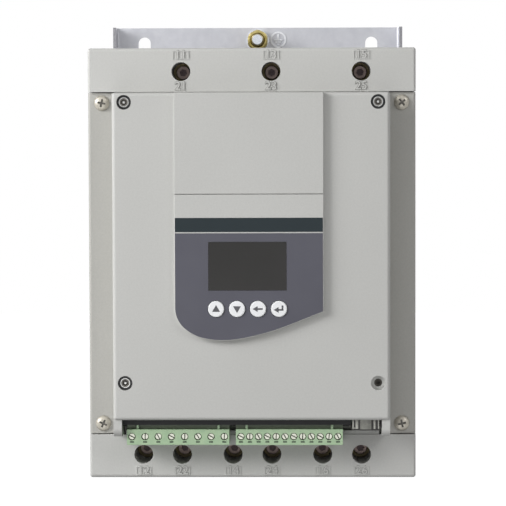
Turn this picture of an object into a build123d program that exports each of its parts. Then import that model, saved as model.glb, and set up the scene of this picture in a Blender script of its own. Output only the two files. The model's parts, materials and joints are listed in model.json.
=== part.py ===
"""Soft starter for a three-phase motor, wall mounted.

Millimetres. X runs to the right, Y into the wall, Z up. The origin is the middle of the
plate's back face, so every piece lies at Y <= 0. Depths are written as distances forward
from the wall: a face at depth d lies at Y = -d.
"""
from build123d import *
import os

# Clearances shared by the pieces that seat in or pass through each other
seat_gap = 0.3
shaft_gap = 0.05

# Body and wall fixing
body_width = 190.0
body_height = 250.0
plate_margin = 20.0
plate_sheet = 2.0
flange_depth = 14.0
bend_radius = 1.5
fixing_width = 150.0
fixing_height = 270.0
slot_width = 8.0
slot_length = 13.0
stud_radius = 4.0
stud_length = 18.0
stud_drop = 8.4
stud_relief_width = 1.0
stud_relief_depth = 0.4
washer_radius = 7.2
washer_sheet = 1.6
nut_flats = 13.0
nut_height = 6.5

# Fans and heat sink
fan_size = 80.0
fan_height = 25.0
fan_rim = 2.0
fan_hole_inset = 4.25
fan_slack = 0.5
fan_hub = 16.0
fan_blades = 7
fan_tip_gap = 0.8
hub_plate = 3.0
spindle_radius = 1.5
guard_sheet = 1.5
guard_ring_step = 8.0
sink_base = 12.0
fin_pitch = 7.1
fin_sheet = 2.2
end_fin = 4.0
foot_width = 10.0
foot_sheet = 5.0
fin_clearance = 2.0

# Casings and shrouds
casing_wall = 3.0
joint_step = 5.0
front_casing_length = 107.0
strip_width = 15.2
casing_lip = 2.5
lip_depth = 17.0
casing_edge_radius = 1.5
case_screw_inset = 8.0
case_screw_drop = 5.9
post_radius = 4.5
shroud_height = 25.3
shroud_step = 2.0
shroud_wall = 2.5
shroud_seam = 0.5
shroud_edge_radius = 2.0
vent_height = 3.5
vent_pitch = 10.0
vent_length = 50.0
outlet_slot = 6.0
outlet_pitch = 9.0
outlet_length = 66.0

# Front cover
cover_rise = 24.0
cover_wall = 2.5
cover_overlap = 2.0
cover_edge_radius = 2.0
terminal_gap = 10.3
leg_width = 4.7
leg_set_back = 1.6
cover_screw_inset = 6.9
cover_screw_drop = 5.4
cover_screw_rise = 21.4
counterbore_radius = 4.2
counterbore_depth = 3.0
cover_hole_radius = 2.3
boss_radius = 5.5
tab_sheet = 10.0

# Operator panel
panel_left = -43.8
panel_right = 41.4
panel_top = 40.8
panel_step = 3.2
panel_side_end = -24.0
panel_edge_radius = 0.35
tub_inset = 2.0
tub_wall = 1.5
tub_depth = 8.4
band_top = 27.45
band_low = 19.4
band_sheet = 0.5
film_top = 18.65
film_sheet = 0.3
film_inset = 0.4
lens_width = 44.6
lens_height = 27.7
lens_x = -2.1
lens_z = -0.15
lens_sheet = 1.2
lens_ledge = 1.0
key_radius = 4.6
key_flange = 0.9
key_flange_sheet = 1.5
key_pitch = 12.0
key_first_x = -20.1
key_z = -24.6
key_proud = 0.8
key_travel = 0.6

# Radius and turn of each arc of the panel's lower edge, from the end of its left side
panel_arcs = ((15.8, 47.4), (25.2, 31.7), (55.0, 20.3), (140.0, 12.2))

# Power modules and copper
phase_margin = 16.7
terminal_offset = 11.3
module_width = 34.0
module_length = 94.0
module_height = 30.0
module_ear = 9.0
module_z = 5.0
module_screw_inset = 7.0
module_terminal_reach = 22.0
bar_sheet = 3.0
bar_width = 12.0
bar_tab_width = 14.0
bar_bend = 1.5
bar_step = 20.0
line_bend_reach = 61.0
output_bend_reach = 57.0
lug_width = 15.0
lug_length = 17.0
lug_bore = 5.2
lug_back_wall = 4.8
lug_front_wall = 8.8
lug_screw_radius = 4.0
lug_screw_length = 14.0
lug_screw_hex = 4.0
access_radius = 5.5
sleeve_wall = 1.5
entry_radius = 7.5
terminal_drop = 13.6
carrier_height = 20.0
carrier_wall = 3.5
barrier = 2.0
sensor_width = 24.0
sensor_height = 14.0
sensor_depth = 33.0

# Boards
board_sheet = 1.6
firing_board_step = 8.0
board_drop = 21.0
board_top_gap = 11.2
board_edge_gap = 6.2
board_skirt = 17.0
board_boss_gap = 2.1
firing_low_gap = 24.2
spacer_flats = 6.0
spacer_inset = 4.0
spacer_drop = 8.0
lower_spacer_rise = 7.0
upper_spacer_rise = 15.0
pulse_width = 18.0
pulse_length = 20.0
pulse_height = 16.0
pulse_reach = 20.0
switch_width = 6.0
switch_height = 3.4
switch_button = 1.4
board_plug_width = 20.0
board_plug_height = 5.0
board_plug_drop = 7.0
relay_width = 12.6
relay_length = 28.0
relay_height = 15.5
relay_spacing = 16.0
relay_inset = 15.27
relay_rise = 18.0
core_width = 32.0
core_height = 28.0
core_inset = 23.0
core_drop = 22.0

# Plug-in terminals
relay_poles = 8
relay_pitch = 7.62
control_pitch = 5.08
row_end_gap = 2.63
row_spacing = 9.58
plug_margin = 2.9
plug_depth = 15.0
plug_height = 9.0
plug_rise = 4.4
plug_set_back = 5.5
plug_screw_radius = 1.9
plug_screw_depth = 0.9
cable_well = 3.8
tongue_length = 8.2
header_wall = 1.5
header_depth = 11.5
header_floor = 4.0
pin_size = 1.0
jack_width = 16.5
jack_height = 15.0
jack_end_gap = 0.7
jack_spacing = 8.0
jack_rise = 3.8

# Screws: head radius, head height, shank radius
case_screw = (4.6, 2.6, 2.1)
cover_screw = (3.3, 2.4, 1.95)
power_screw = (4.3, 3.0, 2.5)
fan_screw = (3.6, 2.2, 2.0)

# Places that follow from the sizes above
half_width = body_width / 2
half_height = body_height / 2
half_plate = half_height + plate_margin
stud_z = half_plate - stud_drop
duct_half = half_width - casing_wall
duct_top = half_height - casing_wall
fan_depth = plate_sheet + fan_slack + fan_size / 2
fan_top = -duct_top + fan_height
fan_bore = fan_size / 2 - fan_rim
fan_hole_reach = fan_size / 2 - fan_hole_inset
sink_back = plate_sheet + fan_size + 2 * fan_slack
sink_front = sink_back + sink_base
joint_depth = sink_front + joint_step
strip_face = joint_depth + front_casing_length
shroud_face = strip_face + shroud_step
cover_face = strip_face + cover_rise
panel_face = cover_face + panel_step
panel_board_front = cover_face - tub_depth
casing_half = half_height - shroud_height - shroud_seam
cover_half = half_width - strip_width - seat_gap
cover_top = casing_half - seat_gap
cover_bottom = -casing_half + terminal_gap
case_screw_x = half_width - case_screw_inset
case_screw_z = casing_half - case_screw_drop
cover_screw_x = cover_half - cover_screw_inset
cover_screw_top = cover_top - cover_screw_drop
cover_screw_low = cover_bottom + cover_screw_rise
phase_pitch = (body_width - 2 * phase_margin) / 3
module_top = sink_front + module_height
module_screw_reach = module_length / 2 - module_screw_inset
line_bend_z = module_z + line_bend_reach
output_bend_z = module_z - output_bend_reach
terminal_z = half_height - terminal_drop
carrier_half_width = 1.5 * phase_pitch - seat_gap
bar_back = module_top + bar_step
lug_back = bar_back + bar_sheet
lug_axis = lug_back + lug_back_wall + lug_bore
lug_front = lug_axis + lug_bore + lug_front_wall
firing_back = lug_back + firing_board_step
firing_front = firing_back + board_sheet
control_front = cover_face - board_drop
control_back = control_front - board_sheet
tab_front = strip_face - cover_overlap
plug_front = cover_face - plug_set_back
plug_back = plug_front - plug_depth
tongue_axis = control_front + header_depth / 2
post_top = strip_face - casing_wall

# Edges of the boards, seen from the front
board_top = casing_half - board_top_gap
board_edge_z = -casing_half + board_edge_gap
board_half = cover_screw_x - boss_radius - board_boss_gap
firing_low = -casing_half + firing_low_gap

# The row of terminals fills the opening between the legs of the cover
mouth_half = cover_half - leg_width
plug_top = -casing_half + plug_rise
relay_first_x = -mouth_half + row_end_gap + plug_margin
control_first_x = relay_first_x + (relay_poles - 1) * relay_pitch + row_spacing
jack_left = mouth_half - jack_end_gap - jack_width
jack_bottom = -casing_half + jack_rise
control_poles = 1 + int((jack_left - jack_spacing - control_first_x) / control_pitch)

# Repeated places
phases = [-phase_pitch, 0.0, phase_pitch]
line_xs = [x + terminal_offset for x in phases]
bypass_xs = [x - terminal_offset for x in phases]
cover_holes = [
    (-cover_screw_x, cover_screw_top),
    (cover_screw_x, cover_screw_top),
    (-cover_screw_x, cover_screw_low),
    (cover_screw_x, cover_screw_low),
]


def rect(x0, x1, y0, y1):
    return Pos((x0 + x1) / 2, (y0 + y1) / 2) * Rectangle(x1 - x0, y1 - y0)


def disc(x, y, radius):
    return Pos(x, y) * Circle(radius)


def plan(x0, x1, back, front):
    """A rectangle seen from above, between two depths."""
    return rect(x0, x1, -front, -back)


def side(back, front, z0, z1):
    """A rectangle seen from the side, between two depths."""
    return rect(-front, -back, z0, z1)


def slab(outline, back, front):
    """An outline seen from the front, made solid between two depths."""
    return extrude(Plane.XZ.offset(back) * outline, amount=front - back)


def post(outline, low, high):
    """An outline seen from above, made solid between two heights."""
    return extrude(Plane.XY.offset(low) * outline, amount=high - low)


def beam(outline, left, right):
    """An outline seen from the side, made solid between two X places."""
    return extrude(Plane.YZ.offset(left) * outline, amount=right - left)


def brick(x0, x1, back, front, z0, z1):
    return slab(rect(x0, x1, z0, z1), back, front)


def round_corners(outline, radius, *places):
    """Round the corners of a flat outline that lie nearest to the places."""
    corners = [outline.vertices().sort_by_distance(place)[0] for place in places]
    return fillet(corners, radius)


def group(pieces):
    """Separate solids of one kind, kept in one node."""
    return Compound([piece.solid() for piece in pieces])


def cross_slots(x, z, face, radius, depth):
    """The two crossed slots of a driver recess."""
    across = rect(x - 0.6 * radius, x + 0.6 * radius, z - 0.15 * radius, z + 0.15 * radius)
    upright = rect(x - 0.15 * radius, x + 0.15 * radius, z - 0.6 * radius, z + 0.6 * radius)
    return slab(across + upright, face - depth, face)


def pan_screw(x, z, seat, size, length):
    """A cross-head screw along Y whose head stands on a seat depth."""
    head_radius, head_height, shank_radius = size
    head = slab(disc(x, z, head_radius), seat, seat + head_height)
    head = chamfer(head.edges().group_by(Axis.Y)[0], head_height * 0.3)
    shank = slab(disc(x, z, shank_radius), seat - length, seat)
    return head + shank - cross_slots(x, z, seat + head_height, head_radius, head_height * 0.55)


def stud_places():
    return 0.0, stud_z


def sink_screw_places():
    """Countersunk screws through the plate into the feet of the heat sink."""
    x = fan_size - end_fin - foot_width * 0.3
    return [(side_x * x, z) for side_x in (-1, 1) for z in (-0.5 * duct_top, 0.8 * duct_top)]


def mounting_plate():
    """Folded sheet: a back with two side flanges, four fixing slots and the stud hole."""
    outer = plan(-half_width, half_width, 0, flange_depth)
    outer = round_corners(outer, bend_radius + plate_sheet, (-half_width, 0), (half_width, 0))
    inner_half = half_width - plate_sheet
    inner = plan(-inner_half, inner_half, plate_sheet, 2 * flange_depth)
    inner = round_corners(
        inner, bend_radius, (-inner_half, -plate_sheet), (inner_half, -plate_sheet)
    )
    plate = post(outer - inner, -half_plate, half_plate)
    slot_z = fixing_height / 2 - (slot_length - slot_width) / 2
    holes = disc(*stud_places(), stud_radius + shaft_gap)
    for x in (-fixing_width / 2, fixing_width / 2):
        for z in (-slot_z, slot_z):
            holes += Pos(x, z) * SlotOverall(slot_length, slot_width, rotation=90)
    plate -= slab(holes, 0, plate_sheet)
    for x, z in sink_screw_places():
        plate -= sink_screw(x, z, seat_gap / 3)
    return plate


def sink_screw(x, z, clearance=0.0):
    """A countersunk screw flush with the plate's back; clearance makes it a cutter."""
    small = stud_radius / 2 + clearance / 2
    depth = plate_sheet - 0.2
    head = Cone(small + depth, small, depth, align=(Align.CENTER, Align.CENTER, Align.MIN))
    head = Plane(origin=(x, 0, z), z_dir=(0, -1, 0)) * head
    return head + slab(disc(x, z, small), depth, depth + foot_sheet + clearance)


def earth_stud():
    """Threaded stud, chamfered at its free end, with a turned relief at the nut's front."""
    x, z = stud_places()
    stud = slab(disc(x, z, stud_radius), 0.2, plate_sheet + stud_length)
    stud = chamfer(stud.edges().group_by(Axis.Y)[0], 0.8)
    front = plate_sheet + washer_sheet + nut_height + seat_gap
    ring = disc(x, z, stud_radius + 1) - disc(x, z, stud_radius - stud_relief_depth)
    return stud - slab(ring, front - stud_relief_width, front)


def earth_washer():
    x, z = stud_places()
    ring = disc(x, z, washer_radius) - disc(x, z, stud_radius + shaft_gap)
    return slab(ring, plate_sheet, plate_sheet + washer_sheet)


def earth_nut():
    """Hexagon nut with its outer corners turned down."""
    x, z = stud_places()
    back = plate_sheet + washer_sheet
    hexagon = Pos(x, z) * RegularPolygon(nut_flats / 2, 6, major_radius=False)
    nut = slab(hexagon - disc(x, z, stud_radius + shaft_gap), back, back + nut_height)
    barrel = slab(disc(x, z, nut_flats * 0.575), back, back + nut_height)
    barrel = chamfer(barrel.edges().group_by(Axis.Y)[0], 1.0)
    return nut & barrel


def heat_sink():
    """Extruded comb: a thick base in front, fins to the rear, feet on the plate."""
    base = plan(-fan_size, fan_size, sink_back, sink_front)
    fins = Sketch() + plan(-fan_size, -fan_size + end_fin, plate_sheet, sink_back)
    span = 2 * fan_size - end_fin
    count = round(span / fin_pitch)
    for i in range(1, count):
        x = -span / 2 + i * span / count
        fins += plan(x - fin_sheet / 2, x + fin_sheet / 2, plate_sheet + fin_clearance, sink_back)
    fins += plan(fan_size - end_fin, fan_size, plate_sheet, sink_back)
    foot_end = fan_size - end_fin - foot_width
    for x0, x1 in ((-fan_size, -foot_end), (foot_end, fan_size)):
        fins += plan(x0, x1, plate_sheet, plate_sheet + foot_sheet)
    sink = post(base, -duct_top + 1, duct_top - 1)
    sink += post(fins, fan_top + fin_clearance, duct_top - fin_clearance)
    for x, z in sink_screw_places():
        sink -= sink_screw(x, z, seat_gap / 3)
    for x, z, seat in power_screw_places():
        if seat < module_top:
            sink -= slab(disc(x, z, power_screw[2] + shaft_gap), sink_front - 8, sink_front)
    return sink


def rear_casing():
    """Duct round the heat sink and fans, with its outlet slots, fan openings and posts."""
    outer = fillet(rect(-half_width, half_width, -half_height, half_height).vertices(), 2.0)
    inner = rect(-duct_half, duct_half, -duct_top, duct_top)
    casing = slab(outer - inner, flange_depth, joint_depth)
    tongue_half = half_width - plate_sheet - bend_radius - seat_gap
    for z0, z1 in ((-half_height, -duct_top), (duct_top, half_height)):
        casing += brick(-tongue_half, tongue_half, plate_sheet, flange_depth, z0, z1)
    for x0, x1 in ((-duct_half, -fan_size - seat_gap), (fan_size + seat_gap, duct_half)):
        casing += brick(x0, x1, sink_back, sink_front, -duct_top, duct_top)
    for x in (-case_screw_x, case_screw_x):
        for z in (-case_screw_z, case_screw_z):
            casing += slab(disc(x, z, post_radius), sink_front, post_top)
            casing -= slab(disc(x, z, case_screw[2] + shaft_gap), post_top - 25, post_top)
    slots = Sketch()
    count = int(2 * (fan_size - outlet_pitch) / outlet_pitch)
    for i in range(count + 1):
        x = (i - count / 2) * outlet_pitch
        slots += plan(
            x - outlet_slot / 2,
            x + outlet_slot / 2,
            fan_depth - outlet_length / 2,
            fan_depth + outlet_length / 2,
        )
    casing -= post(slots, duct_top, half_height)
    holes = Sketch()
    for x in (-fan_size / 2, fan_size / 2):
        holes += disc(x, -fan_depth, fan_bore)
        for place in fan_hole_places(x):
            holes += disc(*place, fan_screw[2] + shaft_gap)
    casing -= post(holes, -half_height, -duct_top)
    return casing


def fan_hole_places(centre):
    return [
        (centre + i * fan_hole_reach, -fan_depth + j * fan_hole_reach)
        for i in (-1, 1)
        for j in (-1, 1)
    ]


def fan_frame(centre):
    """Square axial-fan frame: a round bore, and a motor plate on four arms above it."""
    low, high = -duct_top, fan_top
    square = Pos(centre, -fan_depth) * Rectangle(fan_size, fan_size)
    square = chamfer(square.vertices(), 2.5)
    frame = post(square - disc(centre, -fan_depth, fan_bore), low, high)
    plate = disc(centre, -fan_depth, fan_hub)
    for turn in (45, 135):
        plate += Pos(centre, -fan_depth) * Rot(0, 0, turn) * Rectangle(2 * fan_bore + 1, 4)
    frame += post(plate, high - hub_plate, high)
    holes = disc(centre, -fan_depth, spindle_radius + shaft_gap)
    for place in fan_hole_places(centre):
        holes += disc(*place, fan_screw[2] + shaft_gap)
    return frame - post(holes, low, high)


def fan_rotor(centre):
    """Hub with twisted blades on a spindle that turns in the motor plate."""
    hub_top = fan_top - hub_plate - seat_gap
    hub_low = -duct_top + 1.5
    hub = post(disc(0, 0, fan_hub), hub_low, hub_top)
    hub = chamfer(hub.edges().group_by(Axis.Z)[0], 1.2)
    middle = (hub_low + hub_top) / 2
    root = Plane.YZ.offset(fan_hub - 1) * Rot(0, 0, 52) * Rectangle(14, 1.6)
    tip = Plane.YZ.offset(fan_bore - fan_tip_gap) * Rot(0, 0, 30) * Rectangle(20, 1.2)
    blade = Pos(0, 0, middle) * loft([root, tip])
    blade &= post(disc(0, 0, fan_bore - fan_tip_gap), hub_low, hub_top)
    rotor = hub
    for i in range(fan_blades):
        rotor += Rot(0, 0, i * 360 / fan_blades) * blade
    rotor += post(disc(0, 0, spindle_radius), hub_top, fan_top - 0.5)
    return Pos(centre, -fan_depth, 0) * rotor


def fan_guard(centre):
    """Finger guard: flat rings joined by two diagonal bars with eyes at the corners."""
    rings = Sketch()
    count = int((fan_bore - 2) / guard_ring_step)
    for i in range(1, count + 1):
        radius = i * guard_ring_step
        rings += disc(centre, -fan_depth, radius + 0.8) - disc(centre, -fan_depth, radius - 0.8)
    for turn in (45, 135):
        reach = 2 * fan_hole_reach * 1.4142
        rings += Pos(centre, -fan_depth) * Rot(0, 0, turn) * Rectangle(reach, 2)
    for place in fan_hole_places(centre):
        rings += disc(*place, fan_screw[0] + 0.4)
    for place in fan_hole_places(centre):
        rings -= disc(*place, fan_screw[2] + shaft_gap)
    return post(rings, -half_height - guard_sheet, -half_height)


def fan_screws():
    """Eight screws from below, through guard and casing into the fan frames."""
    head_radius, head_height, shank_radius = fan_screw
    seat = -half_height - guard_sheet
    screws = []
    for centre in (-fan_size / 2, fan_size / 2):
        for place in fan_hole_places(centre):
            head = post(disc(*place, head_radius), seat - head_height, seat)
            screws.append(head + post(disc(*place, shank_radius), seat, seat + 14))
    return group(screws)


def power_screw_places():
    """Every screw of the power size: x, z and the depth its head stands on."""
    places = []
    for x in phases:
        for reach in (-module_screw_reach, module_screw_reach):
            places.append((x, module_z + reach, sink_front + module_ear))
        for reach in (-module_terminal_reach, module_terminal_reach):
            places.append((x, module_z + reach, module_top + bar_sheet))
    cell = 2 * carrier_half_width / 6
    for x in (-2.5 * cell, 2.5 * cell):
        for z in (-terminal_z, terminal_z):
            places.append((x, z, sink_front + carrier_wall))
    return places


def power_screws():
    """The equal hexagon screws of the modules, the bars and the carriers."""
    head_radius, head_height, shank_radius = power_screw
    screws = []
    for x, z, seat in power_screw_places():
        length = seat - sink_front + 7 if seat < module_top else 10
        head = slab(Pos(x, z) * RegularPolygon(head_radius, 6), seat, seat + head_height)
        screws.append(head + slab(disc(x, z, shank_radius), seat - length, seat))
    return group(screws)


def thyristor_module(x):
    """Potted power module: low ears with the fixing slots, raised middle with terminals."""
    ear = module_length / 2
    shoulder = module_screw_reach - 5
    crown = shoulder - 4
    profile = Polyline(
        (-sink_front, module_z - ear),
        (-sink_front - module_ear, module_z - ear),
        (-sink_front - module_ear, module_z - shoulder),
        (-module_top, module_z - crown),
        (-module_top, module_z + crown),
        (-sink_front - module_ear, module_z + shoulder),
        (-sink_front - module_ear, module_z + ear),
        (-sink_front, module_z + ear),
        close=True,
    )
    module = beam(make_face(profile), x - module_width / 2, x + module_width / 2)
    hole = power_screw[2] + shaft_gap
    for reach in (-module_screw_reach, module_screw_reach):
        module -= slab(disc(x, module_z + reach, hole), sink_front, module_top)
    for reach in (-module_terminal_reach, module_terminal_reach):
        module -= slab(disc(x, module_z + reach, hole), module_top - 8, module_top)
    return module


def thermal_switch():
    """Disc thermostat on the heat sink between the first two modules."""
    x = -phase_pitch / 2
    z = module_z + module_screw_reach
    flange = slab(disc(x, z, 8), sink_front, sink_front + 2)
    body = slab(disc(x, z, 6.5), sink_front + 2, sink_front + 10)
    blades = slab(rect(x - 4.5, x - 3.7, z - 3, z + 3) + rect(x + 3.7, x + 4.5, z - 3, z + 3),
                  sink_front + 10, sink_front + 17)
    return flange + body + blades


def bar_profile(tab_end, bend_z, far_end):
    """Side view of a bar: flat on the module, stepped forward, flat behind the lug."""
    up = 1 if far_end > bend_z else -1
    inner = bend_z - up * bar_sheet
    profile = side(module_top, module_top + bar_sheet, *sorted((tab_end, bend_z)))
    profile += side(module_top, lug_back, *sorted((inner, bend_z)))
    profile += side(bar_back, lug_back, *sorted((inner, far_end)))
    outer = bar_bend + bar_sheet
    profile = round_corners(profile, outer, (-module_top, bend_z), (-lug_back, inner))
    return round_corners(
        profile, bar_bend, (-module_top - bar_sheet, inner), (-bar_back, bend_z)
    )


def copper_bar(x, tab_end, bend_z, far_end, legs):
    """A bent bar: its side view cut to the front view of tab, cross piece and legs."""
    up = 1 if far_end > bend_z else -1
    cross = bend_z + up * (bar_width - bar_sheet)
    inner = bend_z - up * bar_sheet
    half_leg = bar_width / 2
    edges = [x - bar_tab_width / 2, x + bar_tab_width / 2]
    for leg in legs:
        edges += [leg - half_leg, leg + half_leg]
    front = rect(x - bar_tab_width / 2, x + bar_tab_width / 2, *sorted((tab_end, bend_z)))
    front += rect(min(edges), max(edges), *sorted((inner, cross)))
    for leg in legs:
        front += rect(leg - half_leg, leg + half_leg, *sorted((inner, far_end)))
    bar = beam(bar_profile(tab_end, bend_z, far_end), -half_width, half_width)
    bar &= slab(front, module_top, lug_back)
    screw_z = module_z + up * module_terminal_reach
    return bar - slab(disc(x, screw_z, power_screw[2] + shaft_gap), module_top, bar_back)


def line_busbars():
    tab_end = module_z + module_terminal_reach - bar_tab_width / 2
    far_end = terminal_z + lug_length / 2
    return group(
        copper_bar(x, tab_end, line_bend_z, far_end, [x + terminal_offset]) for x in phases
    )


def output_busbars():
    """Each output bar has a bypass leg and, through the sensor, a motor leg."""
    tab_end = module_z - module_terminal_reach + bar_tab_width / 2
    far_end = -terminal_z - lug_length / 2
    legs = (-terminal_offset, terminal_offset)
    return group(
        copper_bar(x, tab_end, output_bend_z, far_end, [x + leg for leg in legs])
        for x in phases
    )


def lug(x, z):
    """Box terminal: a round cable bore and a threaded hole for the clamp screw."""
    half = lug_length / 2
    block = post(plan(x - lug_width / 2, x + lug_width / 2, lug_back, lug_front), z - half, z + half)
    block = chamfer(block.edges().filter_by(Axis.Z), 1.0)
    block -= post(disc(x, -lug_axis, lug_bore), z - half, z + half)
    return block - slab(disc(x, z, lug_screw_radius + shaft_gap), lug_axis, lug_front)


def lug_screw(x, z):
    """Clamp screw with a hexagon socket, backed out so that the lug is open."""
    tip = lug_axis + lug_bore + 0.8
    screw = slab(disc(x, z, lug_screw_radius), tip, tip + lug_screw_length)
    socket = Pos(x, z) * RegularPolygon(lug_screw_hex / 2, 6, major_radius=False)
    return screw - slab(socket, tip + lug_screw_length * 0.6, tip + lug_screw_length)


def carrier(middle, barriers):
    """Moulded carrier of the lugs: open cells, with barriers between the phases."""
    outline = plan(-carrier_half_width, carrier_half_width, sink_front, bar_back)
    cell = 2 * carrier_half_width / 6
    for i in range(6):
        x = -carrier_half_width + (i + 0.5) * cell
        half = (cell - barrier) / 2
        outline -= plan(x - half, x + half, sink_front + carrier_wall, bar_back - carrier_wall)
    for x in barriers:
        outline += plan(x - barrier / 2, x + barrier / 2, bar_back, lug_front)
    body = post(outline, middle - carrier_height / 2, middle + carrier_height / 2)
    for x in (-2.5 * cell, 2.5 * cell):
        body -= slab(disc(x, middle, power_screw[2] + shaft_gap), sink_front, bar_back)
        body -= slab(disc(x, middle, power_screw[0] + 0.7), sink_front + carrier_wall, bar_back)
    return body


def current_sensor(x):
    """Potted current sensor on the motor carrier, with the motor leg through its slot."""
    x += terminal_offset
    low = -terminal_z + carrier_height / 2
    middle = bar_back + bar_sheet / 2
    body = Pos(x, -middle) * RectangleRounded(sensor_width, sensor_depth, 4)
    gap = 0.5
    body -= plan(x - bar_width / 2 - gap, x + bar_width / 2 + gap, bar_back - gap, lug_back + gap)
    return post(body, low, low + sensor_height)


def front_casing():
    """Side walls and front strips, with vents, cross rails and tabs for the cover."""
    inner = cover_half + seat_gap
    lip_front = strip_face
    casing = Part()
    for sign in (-1, 1):
        profile = plan(*sorted((sign * duct_half, sign * half_width)), joint_depth, lip_front)
        profile += plan(*sorted((sign * inner, sign * half_width)), post_top, lip_front)
        lip = sorted((sign * inner, sign * (inner + casing_lip)))
        profile += plan(*lip, strip_face - lip_depth, lip_front)
        profile = round_corners(profile, casing_edge_radius, (sign * half_width, -lip_front))
        casing += post(profile, -casing_half, casing_half)
    rail = inner + casing_lip
    rail_back = tab_front - tab_sheet
    casing += brick(-rail, rail, rail_back, post_top, casing_half - 8, casing_half)
    casing += brick(-rail, rail, rail_back, post_top, -casing_half, -casing_half + 4)
    for x, z in cover_holes:
        sign = 1 if x > 0 else -1
        x0, x1 = sorted((sign * (abs(x) - 6.5), sign * (inner + 1)))
        z1 = min(z + 7, casing_half)
        casing += brick(x0, x1, rail_back, tab_front, z - 7, z1)
        casing -= slab(disc(x, z, cover_screw[2] + shaft_gap), rail_back, tab_front)
    for x in (-case_screw_x, case_screw_x):
        for z in (-case_screw_z, case_screw_z):
            casing -= slab(disc(x, z, case_screw[2] + 0.1), post_top, strip_face)
    slots = Sketch()
    rows = int((casing_half - 30) / vent_pitch)
    vent_back = joint_depth + 16
    for i in range(-rows, rows + 1):
        z = i * vent_pitch
        slots += side(vent_back, vent_back + vent_length, z - vent_height / 2, z + vent_height / 2)
    return casing - beam(slots, -half_width, half_width)


def terminal_shroud(xs, label_half):
    """Moulded box over a row of lugs, drawn for the top; holes for driver and cables."""
    low = casing_half + shroud_seam
    high = half_height
    wall = shroud_wall
    box = brick(-half_width, half_width, joint_depth, shroud_face, low, high)
    box = fillet(box.edges().filter_by(Axis.X).group_by(Axis.Y)[0].sort_by(Axis.Z)[-1],
                 shroud_edge_radius)
    box = fillet(box.edges().filter_by(Axis.Z).group_by(Axis.Y)[0], casing_edge_radius)
    inner = half_width - wall
    box -= brick(-inner, inner, joint_depth, shroud_face - wall, low + wall, high - wall)
    box -= brick(-inner, inner, joint_depth, lug_front + 6, low, low + wall)
    sleeve_back = lug_front + 8
    sleeves = Sketch()
    holes = Sketch()
    entries = Sketch()
    for x in xs:
        sleeves += disc(x, terminal_z, access_radius + sleeve_wall)
        holes += disc(x, terminal_z, access_radius)
        entries += disc(x, -lug_axis, entry_radius)
    box += slab(sleeves, sleeve_back, shroud_face)
    box -= slab(holes, sleeve_back, shroud_face)
    box -= post(entries, high - wall, high)
    frames = Sketch()
    for x in xs:
        frames += rect(x - label_half, x + label_half, high - 6.6, high - 1.6)
        frames -= rect(x - label_half + 0.5, x + label_half - 0.5, high - 6.1, high - 2.1)
    return box + slab(frames, shroud_face - 0.5, shroud_face + 0.4)


def line_shroud():
    return terminal_shroud(line_xs, 4.7)


def motor_shroud():
    """The lower shroud has six terminals and a low sill behind the plugs."""
    shroud = mirror(terminal_shroud(bypass_xs + line_xs, 4.5), about=Plane.XY)
    sill_top = -casing_half + 1.8
    sill = brick(-mouth_half + 1, mouth_half - 1, strip_face - 1.5,
                 shroud_face - 0.5, -casing_half - shroud_seam - 2, sill_top)
    return shroud + sill


def cover_shell():
    """The moulded tray of the cover with its raised pad above the panel."""
    back = strip_face - cover_overlap
    outline = fillet(rect(-cover_half, cover_half, cover_bottom, cover_top).vertices(), 1.5)
    shell = slab(outline, back, cover_face)
    shell = fillet(shell.faces().sort_by(Axis.Y)[0].edges(), cover_edge_radius)
    w = cover_wall
    shell -= brick(-cover_half + w, cover_half - w, back, cover_face - w,
                   cover_bottom + w, cover_top - w)
    pad = brick(panel_left, panel_right, cover_face - w, panel_face, panel_top + seat_gap, cover_top)
    pad = fillet(pad.faces().sort_by(Axis.Y)[0].edges(), panel_edge_radius)
    shell += pad
    return shell - brick(panel_left + w, panel_right - w, cover_face - w, panel_face - w,
                         panel_top + 2 * w, cover_top - w)


def cover_leg(sign):
    """Narrow leg beside the terminal opening, its lower front corner rounded."""
    front = cover_face - leg_set_back
    low = -casing_half + seat_gap
    profile = side(strip_face - cover_overlap, front, low, cover_bottom + 4)
    profile = round_corners(profile, 5.0, (-front, low))
    return beam(profile, *sorted((sign * (cover_half - leg_width), sign * cover_half)))


def front_cover():
    """Cover with pad, legs, screw bosses and the openings for panel and plugs."""
    cover = cover_shell() + cover_leg(-1) + cover_leg(1)
    for x, z in cover_holes:
        cover += slab(disc(x, z, boss_radius), tab_front, cover_face - cover_wall)
        cover -= slab(disc(x, z, cover_hole_radius), tab_front, cover_face)
        cover -= slab(disc(x, z, counterbore_radius), cover_face - counterbore_depth, cover_face)
    cover -= slab(panel_outline(tub_inset - seat_gap), cover_face - cover_wall, cover_face)
    cover -= brick(-mouth_half, mouth_half, strip_face - cover_overlap, plug_front - 1.5,
                   cover_bottom, cover_bottom + cover_wall)
    return cover


def cover_screws():
    """Three screws: the lower right hole is empty."""
    seat = cover_face - counterbore_depth
    length = seat - tab_front + tab_sheet + 3
    return group(pan_screw(x, z, seat, cover_screw, length) for x, z in cover_holes[:3])


def case_screws():
    return group(
        pan_screw(x, z, strip_face, case_screw, casing_wall + 20)
        for x in (-case_screw_x, case_screw_x)
        for z in (-case_screw_z, case_screw_z)
    )


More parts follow.
